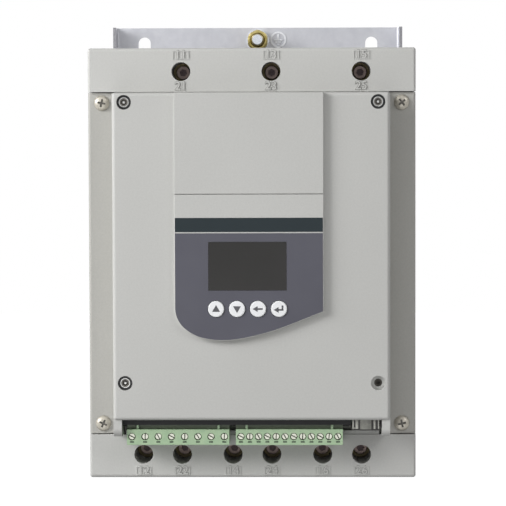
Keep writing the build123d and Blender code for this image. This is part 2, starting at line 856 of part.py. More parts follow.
def panel_outline(inset=0.0):
    """Front view of the panel: square top, one round corner, long curved lower edge."""
    place = Vector(panel_left, panel_side_end)
    heading = Vector(0, -1)
    edges = []
    for radius, turn in panel_arcs:
        arc = JernArc(start=place, tangent=heading, radius=radius, arc_size=turn)
        edges.append(arc)
        place = arc @ 1
        heading = arc % 1
    right_end = Vector(panel_right, place.Y + (panel_right - place.X) * heading.Y / heading.X)
    corners = [place, right_end, (panel_right, panel_top), (panel_left, panel_top)]
    corners.append((panel_left, panel_side_end))
    edges += Polyline(corners).edges()
    face = make_face(edges)
    return offset(face, -inset, kind=Kind.INTERSECTION) if inset else face


def lens_area(growth):
    return rect(
        lens_x - lens_width / 2 - growth,
        lens_x + lens_width / 2 + growth,
        lens_z - lens_height / 2 - growth,
        lens_z + lens_height / 2 + growth,
    )


def key_places():
    return [(key_first_x + i * key_pitch, key_z) for i in range(4)]


def film_area(inset):
    """The lower part of the panel's front that the film covers."""
    top = film_top + film_inset - inset
    return panel_outline(inset) & rect(panel_left, panel_right, -half_height, top)


def band_area(growth):
    inset = film_inset - growth
    return rect(panel_left + inset, panel_right - inset, band_low - growth, band_top + growth)


def panel_bezel():
    """Moulded panel: front plate with recesses, and a tub that goes through the cover."""
    bezel = slab(panel_outline(), cover_face, panel_face)
    bezel = fillet(bezel.faces().sort_by(Axis.Y)[0].edges(), panel_edge_radius)
    rim = panel_outline(tub_inset) - panel_outline(tub_inset + tub_wall)
    bezel += slab(rim, panel_board_front, cover_face)
    bezel -= slab(film_area(film_inset - 0.05), panel_face - film_sheet, panel_face)
    bezel -= slab(band_area(0.05), panel_face - band_sheet, panel_face)
    bezel -= slab(lens_area(0.1), panel_face - lens_sheet, panel_face)
    bezel -= slab(lens_area(-lens_ledge), cover_face, panel_face)
    for x, z in key_places():
        bezel -= slab(disc(x, z, key_radius + seat_gap), cover_face, panel_face)
    return bezel


def panel_film():
    """Printed film over the lower panel, cut out for lens and keys."""
    area = film_area(film_inset) - lens_area(0.1)
    for x, z in key_places():
        area -= disc(x, z, key_radius + seat_gap)
    return slab(area, panel_face - film_sheet, panel_face)


def panel_band():
    return slab(band_area(0), panel_face - band_sheet, panel_face)


def display_lens():
    return slab(lens_area(0), panel_face - lens_sheet, panel_face)


def display_module():
    """Display on the panel board, standing in the opening behind the lens."""
    area = lens_area(-lens_ledge - 0.7)
    front = panel_face - lens_sheet - 0.4
    return slab(area, panel_board_front, front)


def key(x, z):
    """Key cap with a retaining flange and a stem over its switch."""
    flange_front = cover_face - seat_gap
    cap = slab(disc(x, z, key_radius), flange_front, panel_face + key_proud)
    cap = chamfer(cap.edges().group_by(Axis.Y)[0], 0.4)
    flange = slab(disc(x, z, key_radius + key_flange), flange_front - key_flange_sheet, flange_front)
    stem = slab(disc(x, z, 1.6), switch_front() + key_travel + 0.1, flange_front)
    return cap + flange + stem


def switch_front():
    """Depth of the switch buttons' front."""
    return panel_board_front + switch_height + switch_button


def panel_board():
    """Board behind the panel, with the plug of its board connector at the back."""
    back = panel_board_front - board_sheet
    board = slab(panel_outline(tub_inset + 0.3), back, panel_board_front)
    x = board_plug_width / 2
    z = panel_top - board_plug_drop
    return board + brick(-x, x, control_front, back, z - board_plug_height, z)


def key_switches():
    """Four push switches on the panel board."""
    switches = []
    for x, z in key_places():
        front = panel_board_front + switch_height
        body = slab(Pos(x, z) * Rectangle(switch_width, switch_width), panel_board_front, front)
        button = slab(disc(x, z, switch_width * 0.29), front, switch_front())
        switches.append(body + button)
    return group(switches)


def spacer_places():
    """Under the firing board, then under the control board."""
    high = board_top - spacer_drop
    x = carrier_half_width - spacer_inset
    lower = [(i * x, z) for i in (-1, 1) for z in (firing_low + lower_spacer_rise, high)]
    x = board_half - spacer_inset
    upper = [(i * x, z) for i in (-1, 1) for z in (firing_low + upper_spacer_rise, high)]
    return lower, upper


def hex_spacer(x, z, back, front):
    hexagon = Pos(x, z) * RegularPolygon(spacer_flats / 2, 6, major_radius=False)
    return slab(hexagon, back, front)


def board_spacers():
    """Spacers from the heat sink to the firing board, and on to the control board."""
    lower, upper = spacer_places()
    return group(
        [hex_spacer(x, z, sink_front, firing_back) for x, z in lower]
        + [hex_spacer(x, z, firing_front, control_back) for x, z in upper]
    )


def firing_board():
    outline = rect(-carrier_half_width, carrier_half_width, firing_low, board_top)
    return slab(outline, firing_back, firing_front)


def pulse_transformers():
    """Six gate transformers, a pair for each module."""
    blocks = []
    for x in phases:
        for z in (module_z - pulse_reach, module_z + pulse_reach):
            outline = Pos(x, z) * Rectangle(pulse_width, pulse_length)
            block = slab(outline, firing_front, firing_front + pulse_height)
            blocks.append(chamfer(block.faces().sort_by(Axis.Y)[0].edges(), 1.5))
    return group(blocks)


def control_board():
    """Board behind the cover, wide at its lower edge where the terminals stand."""
    wide = mouth_half - 0.5
    step = board_edge_z + board_skirt
    outline = rect(-wide, wide, board_edge_z, step)
    outline += rect(-board_half, board_half, step, board_top)
    return slab(outline, control_back, control_front)


def row_of_poles(first_x, pitch, poles):
    return [first_x + i * pitch for i in range(poles)]


def header(first_x, pitch, poles):
    """Socket of a plug-in terminal: open below, with a pin for each pole."""
    xs = row_of_poles(first_x, pitch, poles)
    x0, x1 = xs[0] - plug_margin, xs[-1] + plug_margin
    mouth = plug_top + 0.2
    top = mouth + tongue_length + header_floor
    front = control_front + header_depth
    w = header_wall
    body = brick(x0, x1, control_front, front, mouth, top)
    floor = mouth + tongue_length + 0.2
    body -= brick(x0 + w, x1 - w, control_front + w, front - w, mouth, floor)
    half = pin_size / 2
    pins = Sketch()
    for x in xs:
        pins += plan(x - half, x + half, tongue_axis - half, tongue_axis + half)
    return body + post(pins, mouth + 1.0, floor)


def plug(first_x, pitch, poles):
    """Plug of the terminal: screw wells in front, cable wells below, tongue above."""
    xs = row_of_poles(first_x, pitch, poles)
    x0, x1 = xs[0] - plug_margin, xs[-1] + plug_margin
    low = plug_top - plug_height
    body = brick(x0, x1, plug_back, plug_front, low, plug_top)
    inset = header_wall + seat_gap
    tongue_back = control_front + inset
    tongue_front = control_front + header_depth - inset
    body += brick(x0 + inset, x1 - inset, tongue_back, tongue_front,
                  plug_top, plug_top + tongue_length)
    rib_back = control_front + header_depth + seat_gap
    for x in (xs[0] + 3.3, xs[-1] - 3.3):
        body += brick(x - 0.7, x + 0.7, rib_back, rib_back + 1.8, plug_top, plug_top + 4.3)
    half = pin_size / 2 + seat_gap
    sockets = Sketch()
    cable_wells = Sketch()
    screw_wells = Sketch()
    for x in xs:
        sockets += plan(x - half, x + half, tongue_axis - half, tongue_axis + half)
        cable_wells += plan(
            x - cable_well / 2, x + cable_well / 2, plug_back + 2.5, plug_back + 2.5 + cable_well
        )
        screw_wells += disc(x, plug_top - plug_height / 2 + 0.3, plug_screw_radius + 0.25)
    body -= post(sockets, plug_top, plug_top + tongue_length)
    body -= post(cable_wells, low, low + 6)
    return body - slab(screw_wells, plug_front - 5, plug_front)


def plug_screws(first_x, pitch, poles):
    """Clamp screws in the wells of a plug."""
    z = plug_top - plug_height / 2 + 0.3
    face = plug_front - plug_screw_depth
    return group(
        slab(disc(x, z, plug_screw_radius), plug_front - 5, face)
        for x in row_of_poles(first_x, pitch, poles)
    )


def network_socket():
    """Shielded socket for the data lead, open downwards, with its spring tabs."""
    front = plug_front - 2.5
    top = jack_bottom + jack_height
    x0, x1 = jack_left, jack_left + jack_width
    body = brick(x0, x1, control_front, front, jack_bottom, top)
    body -= brick(x0 + 2.3, x1 - 2.3, control_front + 3, front - 2.5, jack_bottom, top - 3)
    body -= brick(x0 + 5, x1 - 5, front - 2.5, front - 1.2, jack_bottom, top - 3)
    for x in (x0 + 3.2, x1 - 3.2):
        tab = brick(x - 1.6, x + 1.6, front, front + 0.6, jack_bottom + 1, jack_bottom + 8)
        body += chamfer(tab.edges().filter_by(Axis.X).group_by(Axis.Y)[0], 0.4)
    return body


def output_relays():
    """Three relays on the control board, above the wide header."""
    relays = []
    half = relay_width / 2
    low = board_edge_z + relay_rise
    for i in range(3):
        x = relay_first_x + relay_inset + i * relay_spacing
        relay = brick(x - half, x + half, control_front, control_front + relay_height,
                      low, low + relay_length)
        relays.append(chamfer(relay.faces().sort_by(Axis.Y)[0].edges(), 0.6))
    return group(relays)


def supply_transformer():
    """Low transformer: a laminated core round a wound bobbin."""
    x = -board_half + core_inset
    z = board_top - core_drop
    limb = core_width / 6
    core = Rectangle(core_width, core_height)
    for i in (-1, 1):
        core -= Pos(1.5 * i * limb, 0) * Rectangle(limb + 1, core_height - 2 * limb)
    bobbin = Rectangle(4 * limb - 2, core_height - 2 * limb - 1)
    block = slab(Pos(x, z) * core, control_front + 2, control_front + 14)
    return block + slab(Pos(x, z) * bobbin, control_front, control_front + 15.5)


relay_row = (relay_first_x, relay_pitch, relay_poles)
control_row = (control_first_x, control_pitch, control_poles)
line_barriers = [x + phase_pitch / 2 for x in line_xs[:2]]
motor_barriers = [-phase_pitch / 2, phase_pitch / 2]
ends = [-carrier_half_width + barrier / 2, carrier_half_width - barrier / 2]

nodes = {
    "mounting_plate": mounting_plate(),
    "earth_stud": earth_stud(),
    "earth_washer": earth_washer(),
    "earth_nut": earth_nut(),
    "heat_sink": heat_sink(),
    "heat_sink_screws": group(sink_screw(x, z) for x, z in sink_screw_places()),
    "rear_casing": rear_casing(),
    "fan_frame_left": fan_frame(-fan_size / 2),
    "fan_frame_right": fan_frame(fan_size / 2),
    "fan_rotor_left": fan_rotor(-fan_size / 2),
    "fan_rotor_right": fan_rotor(fan_size / 2),
    "fan_guard_left": fan_guard(-fan_size / 2),
    "fan_guard_right": fan_guard(fan_size / 2),
    "fan_screws": fan_screws(),
    "power_screws": power_screws(),
    "thermal_switch": thermal_switch(),
    "line_busbars": line_busbars(),
    "output_busbars": output_busbars(),
    "line_lugs": group(lug(x, terminal_z) for x in line_xs),
    "motor_lugs": group(lug(x, -terminal_z) for x in line_xs),
    "bypass_lugs": group(lug(x, -terminal_z) for x in bypass_xs),
    "lug_screws": group(
        [lug_screw(x, terminal_z) for x in line_xs]
        + [lug_screw(x, -terminal_z) for x in line_xs + bypass_xs]
    ),
    "line_carrier": carrier(terminal_z, line_barriers + ends),
    "motor_carrier": carrier(-terminal_z, motor_barriers + ends),
    "front_casing": front_casing(),
    "case_screws": case_screws(),
    "line_shroud": line_shroud(),
    "motor_shroud": motor_shroud(),
    "front_cover": front_cover(),
    "cover_screws": cover_screws(),
    "panel_bezel": panel_bezel(),
    "panel_film": panel_film(),
    "panel_band": panel_band(),
    "display_lens": display_lens(),
    "display_module": display_module(),
    "panel_board": panel_board(),
    "key_switches": key_switches(),
    "board_spacers": board_spacers(),
    "firing_board": firing_board(),
    "pulse_transformers": pulse_transformers(),
    "control_board": control_board(),
    "relay_header": header(*relay_row),
    "relay_plug": plug(*relay_row),
    "relay_plug_screws": plug_screws(*relay_row),
    "control_header": header(*control_row),
    "control_plug": plug(*control_row),
    "control_plug_screws": plug_screws(*control_row),
    "network_socket": network_socket(),
    "output_relays": output_relays(),
    "supply_transformer": supply_transformer(),
}
for number, x in enumerate(phases, start=1):
    nodes[f"thyristor_module_{number}"] = thyristor_module(x)
    nodes[f"current_sensor_{number}"] = current_sensor(x)
for name, (x, z) in zip(("key_up", "key_down", "key_back", "key_enter"), key_places()):
    nodes[name] = key(x, z)

os.makedirs("parts", exist_ok=True)
for name, shape in nodes.items():
    export_step(shape, f"parts/{name}.step")
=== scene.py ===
"""Looks of the motor soft starter, dressed over its CAD model.

Metres. X runs to the right, Y into the wall, Z up; the mounting plate's back lies at Y = 0.
Sizes in the functions below are written in millimetres and turned to metres once.
"""

import json
import math

import bmesh
import bpy
from mathutils import Matrix, Vector

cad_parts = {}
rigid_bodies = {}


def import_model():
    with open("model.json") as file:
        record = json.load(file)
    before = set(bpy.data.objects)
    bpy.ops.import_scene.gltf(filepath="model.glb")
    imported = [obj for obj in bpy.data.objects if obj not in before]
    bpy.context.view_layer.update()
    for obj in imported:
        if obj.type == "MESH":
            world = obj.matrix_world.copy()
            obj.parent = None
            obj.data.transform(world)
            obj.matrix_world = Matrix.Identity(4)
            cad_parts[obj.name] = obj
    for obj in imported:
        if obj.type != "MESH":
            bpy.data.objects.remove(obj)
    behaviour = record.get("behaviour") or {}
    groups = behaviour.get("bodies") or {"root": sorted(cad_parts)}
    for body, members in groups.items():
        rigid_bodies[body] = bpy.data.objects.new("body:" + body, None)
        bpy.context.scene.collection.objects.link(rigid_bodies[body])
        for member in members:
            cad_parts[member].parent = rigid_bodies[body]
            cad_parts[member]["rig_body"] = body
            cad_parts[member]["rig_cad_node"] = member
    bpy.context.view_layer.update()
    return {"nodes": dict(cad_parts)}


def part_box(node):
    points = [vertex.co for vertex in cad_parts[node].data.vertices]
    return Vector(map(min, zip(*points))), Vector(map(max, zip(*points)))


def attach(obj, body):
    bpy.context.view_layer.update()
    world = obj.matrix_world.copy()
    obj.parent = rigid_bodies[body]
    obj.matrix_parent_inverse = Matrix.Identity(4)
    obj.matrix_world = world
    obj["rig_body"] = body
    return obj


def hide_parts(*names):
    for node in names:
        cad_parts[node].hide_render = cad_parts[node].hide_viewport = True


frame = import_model()

# One millimetre in the scene's unit
MM = 0.001
# Points of a mesh that are closer than this are one point
TOUCHING = 0.001 * MM
# Height in millimetres of the raised frames on the shrouds, in which the numbers stand
FRAME_RELIEF = 0.4
# Height in millimetres of the cover screws' heads above the bottom of their counterbores
COVER_SCREW_HEAD = 2.4
# Setback in millimetres of the key caps' faces behind the CAD model's, room for the symbols
KEY_SETBACK = 0.12


# Materials

def linear(code):
    """The linear RGBA of a colour that is written as sRGB hex."""
    channels = [int(code[i:i + 2], 16) / 255 for i in (0, 2, 4)]
    return [c / 12.92 if c <= 0.04045 else ((c + 0.055) / 1.055) ** 2.4 for c in channels] + [1.0]


def per_mm(size):
    """The pattern scale whose features are about this many millimetres wide."""
    return 1.0 / (size * MM)


def add_node(tree, kind, settings=None, links=None):
    """Add a node, set its properties, then fill its inputs with values or link them."""
    made = tree.nodes.new(kind)
    for name, value in (settings or {}).items():
        setattr(made, name, value)
    for name, value in (links or {}).items():
        if isinstance(value, bpy.types.NodeSocket):
            tree.links.new(value, made.inputs[name])
        else:
            made.inputs[name].default_value = value
    return made


def begin_material(name, metallic=0.0, roughness=0.5, ior=None):
    """A material with its plain values set, its tree, its shader and its object coordinates."""
    material = bpy.data.materials.new(name)
    material.use_nodes = True
    tree = material.node_tree
    shader = tree.nodes["Principled BSDF"]
    shader.inputs["Metallic"].default_value = metallic
    shader.inputs["Roughness"].default_value = roughness
    if ior:
        shader.inputs["IOR"].default_value = ior
    place = add_node(tree, "ShaderNodeTexCoord").outputs["Object"]
    return material, tree, shader, place


def two_tone(tree, factor, low, high, dark, light):
    """A colour that runs from dark to light as the factor runs from low to high."""
    ramp = add_node(tree, "ShaderNodeValToRGB", links={"Fac": factor})
    ramp.color_ramp.elements[0].position = low
    ramp.color_ramp.elements[0].color = linear(dark)
    ramp.color_ramp.elements[1].position = high
    ramp.color_ramp.elements[1].color = linear(light)
    return ramp.outputs["Color"]


def relief(tree, shader, height, depth, strength):
    """Bump from a height pattern, its depth in millimetres."""
    bump = add_node(tree, "ShaderNodeBump", links={
        "Height": height, "Distance": depth * MM, "Strength": strength,
    })
    tree.links.new(bump.outputs["Normal"], shader.inputs["Normal"])


def moulded_abs(name, dark, light):
    """ABS moulding with a spark-eroded surface: an even grain that breaks up the light.

    The real grain is about 0.1 mm, too fine for the picture, so it is drawn coarser. Wide
    clouds, as from handling, vary its tone and its gloss a little.
    """
    roughness, grain, cloud, depth, grain_share = 0.55, 1.1, 70.0, 0.04, 0.65
    material, tree, shader, place = begin_material(name, roughness=roughness, ior=1.52)
    grit = add_node(tree, "ShaderNodeTexNoise", links={
        "Vector": place, "Scale": per_mm(grain), "Detail": 3.0, "Roughness": 0.7,
    }).outputs["Fac"]
    handled = add_node(tree, "ShaderNodeTexNoise", links={
        "Vector": place, "Scale": per_mm(cloud), "Detail": 2.0,
    }).outputs["Fac"]
    mixed = add_node(tree, "ShaderNodeMath", {"operation": "MULTIPLY_ADD"}, {
        0: handled, 1: 1 - grain_share, 2: add_node(
            tree, "ShaderNodeMath", {"operation": "MULTIPLY"}, {0: grit, 1: grain_share}
        ).outputs[0],
    }).outputs[0]
    tree.links.new(two_tone(tree, mixed, 0.32, 0.68, dark, light), shader.inputs["Base Color"])
    rough = add_node(tree, "ShaderNodeMapRange", links={
        "Value": handled, "From Min": 0.3, "From Max": 0.7,
        "To Min": roughness - 0.05, "To Max": roughness + 0.05,
    })
    tree.links.new(rough.outputs["Result"], shader.inputs["Roughness"])
    relief(tree, shader, grit, depth, 0.5)
    return material


def plated_steel(name, dark, light, roughness, grain, metallic=0.9):
    """Plated or tarnished metal, whose crystals vary a little in tone and gloss."""
    material, tree, shader, place = begin_material(name, metallic=metallic, roughness=roughness)
    cloud = add_node(tree, "ShaderNodeTexNoise", links={
        "Vector": place, "Scale": per_mm(grain), "Detail": 4.0, "Roughness": 0.6,
    }).outputs["Fac"]
    tree.links.new(two_tone(tree, cloud, 0.35, 0.65, dark, light), shader.inputs["Base Color"])
    rough = add_node(tree, "ShaderNodeMapRange", links={
        "Value": cloud, "From Min": 0.3, "From Max": 0.7,
        "To Min": roughness - 0.06, "To Max": roughness + 0.08,
    })
    tree.links.new(rough.outputs["Result"], shader.inputs["Roughness"])
    relief(tree, shader, cloud, 0.01, 0.4)
    return material


def brushed_metal(name, dark, light, roughness, stretch):
    """Rolled or extruded metal: fine lines along one direction, given by the stretch."""
    material, tree, shader, place = begin_material(name, metallic=1.0, roughness=roughness)
    along = add_node(tree, "ShaderNodeMapping", links={"Vector": place, "Scale": stretch})
    lines = add_node(tree, "ShaderNodeTexNoise", links={
        "Vector": along.outputs["Vector"], "Scale": per_mm(0.8), "Detail": 3.0,
    }).outputs["Fac"]
    tree.links.new(two_tone(tree, lines, 0.3, 0.7, dark, light), shader.inputs["Base Color"])
    relief(tree, shader, lines, 0.01, 0.4)
    return material


def plain_plastic(name, dark, light, roughness, patch=6.0, gloss=0.5):
    """Moulded plastic with a faint cloudiness; the gloss is the shader's specular level."""
    material, tree, shader, place = begin_material(name, roughness=roughness, ior=1.5)
    shader.inputs["Specular IOR Level"].default_value = gloss
    cloud = add_node(tree, "ShaderNodeTexNoise", links={
        "Vector": place, "Scale": per_mm(patch), "Detail": 3.0,
    }).outputs["Fac"]
    tree.links.new(two_tone(tree, cloud, 0.3, 0.7, dark, light), shader.inputs["Base Color"])
    relief(tree, shader, cloud, 0.02, 0.2)
    return material


# ABS of the casings: warm grey, spark-eroded
casing_abs = moulded_abs("casing_abs", "abaaa5", "b5b4af")
# Lighter ABS of the terminal shrouds
shroud_abs = moulded_abs("shroud_abs", "bdbdba", "c6c6c3")
# ABS of the front cover and its panel
cover_abs = moulded_abs("cover_abs", "bcbcb9", "c5c5c2")
# Grey painted shade along the raised strokes of the shrouds, for the shading at their edges
stroke_painted_shade = plain_plastic("stroke_painted_shade", "6b6b68", "80807c", 0.6, patch=3.0)
# Zinc-plated sheet of the mounting plate: cool grey, slightly cloudy
plate_zinc = plated_steel("plate_zinc", "c6c7ce", "cecfd5", roughness=0.45, grain=6.0,
                          metallic=0.3)
# Bare sheared edge of the same sheet: darker, dull
sheared_steel = plated_steel("sheared_steel", "86868b", "98989d", roughness=0.5, grain=2.0,
                             metallic=0.3)
# Nickel-plated cross-head screws: warm silver
screw_nickel = plated_steel("screw_nickel", "aea99d", "c1bcb0", roughness=0.38, grain=1.5,
                            metallic=0.3)
# Zinc-plated socket screws of the cover: neutral grey, a bright rim
screw_zinc = plated_steel("screw_zinc", "b4b4b2", "cfcfce", roughness=0.3, grain=1.2)
# Dark grey painted shade lining the drive recesses of the screws
drive_recess_painted_shade = plain_plastic("drive_recess_painted_shade", "65625d", "85827c", 0.5, patch=0.7)
# Green-grey painted shade in the slots of the plugs' screws
slot_painted_shade = plain_plastic("slot_painted_shade", "565c4f", "6f7666", 0.6, patch=0.8)
# Near-black painted shade in the deeper recesses
deep_recess_painted_shade = plain_plastic("deep_recess_painted_shade", "2b2722", "3f3a33", 0.6, patch=1.0)
# Brass nut of the earth terminal, pale and lightly tarnished
nut_brass = plated_steel("nut_brass", "a0904f", "c9ba7f", roughness=0.3, grain=2.2, metallic=1.0)
# Bright steel stud and washer
stud_steel = plated_steel("stud_steel", "d3d7de", "e2e6ee", roughness=0.25, grain=2.0)
# Yellow-passivated thread behind the stud's bright end
thread_zinc = plated_steel("thread_zinc", "8d8053", "a3966a", roughness=0.35, grain=2.0)
# Extruded aluminium of the heat sink, lines along the fins
sink_aluminium = brushed_metal("sink_aluminium", "9a9ca0", "b4b6ba", 0.42, (1.0, 1.0, 0.05))
# Copper bars, dulled
bar_copper = brushed_metal("bar_copper", "9a5a3c", "b87450", 0.35, (1.0, 1.0, 0.1))
# Plated brass of the cable lugs
lug_brass = plated_steel("lug_brass", "7c7156", "958a6c", roughness=0.4, grain=2.0, metallic=1.0)
# Black-oxide clamp screws that look brown in the depth of their holes
clamp_screw = plated_steel("clamp_screw", "8f7f7b", "ab9a93", roughness=0.4, grain=1.5)
# Brown oxide in their hexagon sockets, painted darker as shade
socket_oxide_painted_shade = plated_steel("socket_oxide_painted_shade", "6e6163", "857779", roughness=0.5, grain=1.0)
# Glass-filled black polyamide of fans and carriers
black_polyamide = plain_plastic("black_polyamide", "17181a", "222325", 0.5)
# Matt black of the strip that paints the shadow under the cover's lower edge
shadow_strip_black = plain_plastic("shadow_strip_black", "1a1a1b", "222223", 0.7, gloss=0.37)
# Potting compound and housings of the power modules
module_epoxy = plain_plastic("module_epoxy", "1c1c20", "26262a", 0.45)
# Vulcanised fibre sheet, dark grey, between the phases
barrier_fibre = plain_plastic("barrier_fibre", "2b2b2e", "36363a", 0.6, patch=12.0)
# Lacquered glass-fibre board
board_fr4 = plain_plastic("board_fr4", "1d4a2f", "28593b", 0.35, patch=15.0)
# Blue-grey PBT housings of relays and current sensors
relay_pbt = plain_plastic("relay_pbt", "283144", "333d52", 0.3)
# Green polyamide of the plug-in terminals, slightly glossy
plug_green = plain_plastic("plug_green", "9cb895", "a9c19e", 0.38, patch=3.0)
# The same polyamide, painted darker in the fixed headers for the shade under the cover
header_green_painted_shade = plain_plastic("header_green_painted_shade", "5e6955", "6a7560", 0.45, patch=3.0)
# Black plastic housing of the network socket
socket_black = plain_plastic("socket_black", "1f1d1c", "2b2927", 0.5, patch=4.0)
# Tinned springs in its face, painted darker for the shade under the cover
spring_tin_painted_shade = plated_steel("spring_tin_painted_shade", "70706b", "888883", roughness=0.32, grain=2.0)
# The same tin, painted darker on the contact plate for the shade under the cover
contact_tin_painted_shade = plated_steel("contact_tin_painted_shade", "5c5c58", "70706b", roughness=0.45, grain=2.0)
# Nickel-plated wire of the finger guards
guard_nickel = plated_steel("guard_nickel", "a4a6aa", "c4c6ca", roughness=0.28, grain=2.0,
                            metallic=1.0)
# Lacquered laminations of the transformer
core_lacquer = plain_plastic("core_lacquer", "3a3a3c", "4b4b4d", 0.45)
# Matt printed polyester film, violet grey
film_polyester = plain_plastic("film_polyester", "5a5a63", "5f5f68", 0.5, patch=25.0, gloss=0.2)
# Polyester film of the dark strip above it
strip_polyester = plain_plastic("strip_polyester", "242d31", "283135", 0.4, patch=25.0, gloss=0.2)
# Bright steel of the small clamp screws in the plugs
plug_nickel = plated_steel("plug_nickel", "a6a79c", "bebfb4", roughness=0.3, grain=1.5)
# Dark ink of the dashes under the plugs' screws
mark_ink = plain_plastic("mark_ink", "22301f", "2b3a28", 0.5)
# Near-white zinc on the raised strokes of the earth symbol: painted highlights
zinc_painted_highlight = plated_steel("zinc_painted_highlight", "eceef4", "f6f7fb", roughness=0.35, grain=1.0,
                           metallic=0.2)
# Grey ink of the symbols on the keys
symbol_ink = plain_plastic("symbol_ink", "4c4c50", "56565a", 0.5)
# White ABS of the key caps
key_abs = plain_plastic("key_abs", "f0f1f3", "f7f8fa", 0.45, patch=8.0)
# Smoked acrylic window over the display
window_acrylic = plain_plastic("window_acrylic", "2b2a29", "2f2e2d", 0.22, patch=30.0, gloss=0.25)

finishes = {
    "mounting_plate": plate_zinc,
    "earth_stud": stud_steel,
    "earth_washer": stud_steel,
    "earth_nut": nut_brass,
    "heat_sink": sink_aluminium,
    "heat_sink_screws": stud_steel,
    "rear_casing": casing_abs,
    "fan_frame_left": black_polyamide,
    "fan_frame_right": black_polyamide,
    "fan_rotor_left": black_polyamide,
    "fan_rotor_right": black_polyamide,
    "fan_guard_left": guard_nickel,
    "fan_guard_right": guard_nickel,
    "fan_screws": stud_steel,
    "power_screws": stud_steel,
    "thermal_switch": guard_nickel,
    "line_busbars": bar_copper,
    "output_busbars": bar_copper,
    "line_lugs": lug_brass,
    "motor_lugs": lug_brass,
    "bypass_lugs": lug_brass,
    "lug_screws": clamp_screw,
    "line_carrier": black_polyamide,
    "motor_carrier": black_polyamide,
    "front_casing": casing_abs,
    "case_screws": screw_nickel,
    "line_shroud": shroud_abs,
    "motor_shroud": shroud_abs,
    "front_cover": cover_abs,
    "cover_screws": screw_nickel,
    "panel_bezel": cover_abs,
    "panel_film": film_polyester,
    "panel_band": strip_polyester,
    "display_lens": window_acrylic,
    "display_module": module_epoxy,
    "panel_board": board_fr4,
    "key_switches": black_polyamide,
    "board_spacers": nut_brass,
    "firing_board": board_fr4,
    "pulse_transformers": module_epoxy,
    "control_board": board_fr4,
    "relay_header": header_green_painted_shade,
    "relay_plug": plug_green,
    "relay_plug_screws": screw_nickel,
    "control_header": header_green_painted_shade,
    "control_plug": plug_green,
    "control_plug_screws": screw_nickel,
    "network_socket": socket_black,
    "output_relays": relay_pbt,
    "supply_transformer": core_lacquer,
    "thyristor_module_1": module_epoxy,
    "thyristor_module_2": module_epoxy,
    "thyristor_module_3": module_epoxy,
    "current_sensor_1": relay_pbt,
    "current_sensor_2": relay_pbt,
    "current_sensor_3": relay_pbt,
    "key_up": key_abs,
    "key_down": key_abs,
    "key_back": key_abs,
    "key_enter": key_abs,
}

for name, material in finishes.items():
    mesh = frame["nodes"][name].data
    mesh.materials.clear()
    mesh.materials.append(material)


# Rounded edges on the mouldings

def deselect():
    """Deselect every object."""
    bpy.ops.object.select_all(action="DESELECT")


def make_active(piece):
    """Select a piece alone and make it the active one."""
    deselect()
    piece.select_set(True)
    bpy.context.view_layer.objects.active = piece


def apply_modifier(piece, kind, **settings):
    """Put a modifier on a piece, set it and apply it."""
    make_active(piece)
    modifier = piece.modifiers.new("step", kind)
    for name, value in settings.items():
        setattr(modifier, name, value)
    bpy.ops.object.modifier_apply(modifier=modifier.name)


def select_corners(name, front):
    """Select the edges in which two outer sides of a moulding meet; front is its face in mm."""
    near = 0.02 * MM
    low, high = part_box(name)
    sides = ((0, low.x), (0, high.x), (1, -front * MM), (2, low.z), (2, high.z))
    shape = bmesh.from_edit_mesh(bpy.context.edit_object.data)
    bpy.ops.mesh.select_all(action="DESELECT")
    for edge in shape.edges:
        met = [all(abs(vert.co[axis] - place) < near for vert in edge.verts)
               for axis, place in sides]
        edge.select_set(sum(met) > 1)
    bmesh.update_edit_mesh(bpy.context.edit_object.data)


def select_long_edges(shortest, angle):
    """Select the outward edges sharper than an angle that are at least so many mm long."""
    bpy.ops.mesh.select_mode(type="EDGE")
    bpy.ops.mesh.select_all(action="DESELECT")
    bpy.ops.mesh.edges_select_sharp(sharpness=math.radians(angle))
    shape = bmesh.from_edit_mesh(bpy.context.edit_object.data)
    for edge in shape.edges:
        if edge.select and (edge.calc_length() < shortest * MM or not edge.is_convex):
            edge.select_set(False)
    bmesh.update_edit_mesh(bpy.context.edit_object.data)


def rounded(name, width=0.0, steps=2, angle=35.0, corner=0.0, front=0.0, shortest=0.0):
    """A merged, smoothed copy of a CAD node that stands for it, its edges rounded by millimetres.

    The corner is a larger rounding for its outer corners. Where a shortest edge is given, only
    edges of at least that length are rounded, which leaves fine detail sharp.
    """
    source = frame["nodes"][name]
    copy = source.copy()
    copy.data = source.data.copy()
    copy.name = name + "_moulding"
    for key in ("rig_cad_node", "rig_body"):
        del copy[key]
    bpy.context.scene.collection.objects.link(copy)
    body = source["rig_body"]
    make_active(copy)
    bpy.ops.object.mode_set(mode="EDIT")
    bpy.ops.mesh.select_all(action="SELECT")
    bpy.ops.mesh.customdata_custom_splitnormals_clear()
    bpy.ops.mesh.remove_doubles(threshold=TOUCHING)
    bpy.ops.mesh.dissolve_limited(angle_limit=math.radians(0.3))
    if corner:
        select_corners(name, front)
        bpy.ops.mesh.bevel(offset=corner * MM, segments=3, affect="EDGES", clamp_overlap=True)
    if shortest:
        select_long_edges(shortest, angle)
        bpy.ops.mesh.bevel(offset=width * MM, segments=steps, affect="EDGES", clamp_overlap=True)
    bpy.ops.object.mode_set(mode="OBJECT")
    if width and not shortest:
        apply_modifier(copy, "BEVEL", width=width * MM, segments=steps, limit_method="ANGLE",
                       angle_limit=math.radians(angle), use_clamp_overlap=True)
    bpy.ops.object.shade_smooth_by_angle(angle=math.radians(40))
    apply_modifier(copy, "WEIGHTED_NORMAL", mode="FACE_AREA", weight=100, keep_sharp=True)
    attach(copy, body)
    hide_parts(name)
    return copy


def plate():
    """The mounting plate, with bare sheared edges at the front of its side flanges."""
    edge_depth = 0.4
    sheet = rounded("mounting_plate", 0.25)
    sheet.data.materials.append(sheared_steel)
    bare_from = (front_of("mounting_plate") - edge_depth) * MM
    for face in sheet.data.polygons:
        if -face.center.y > bare_from:
            face.material_index = 1


# Modelled pieces

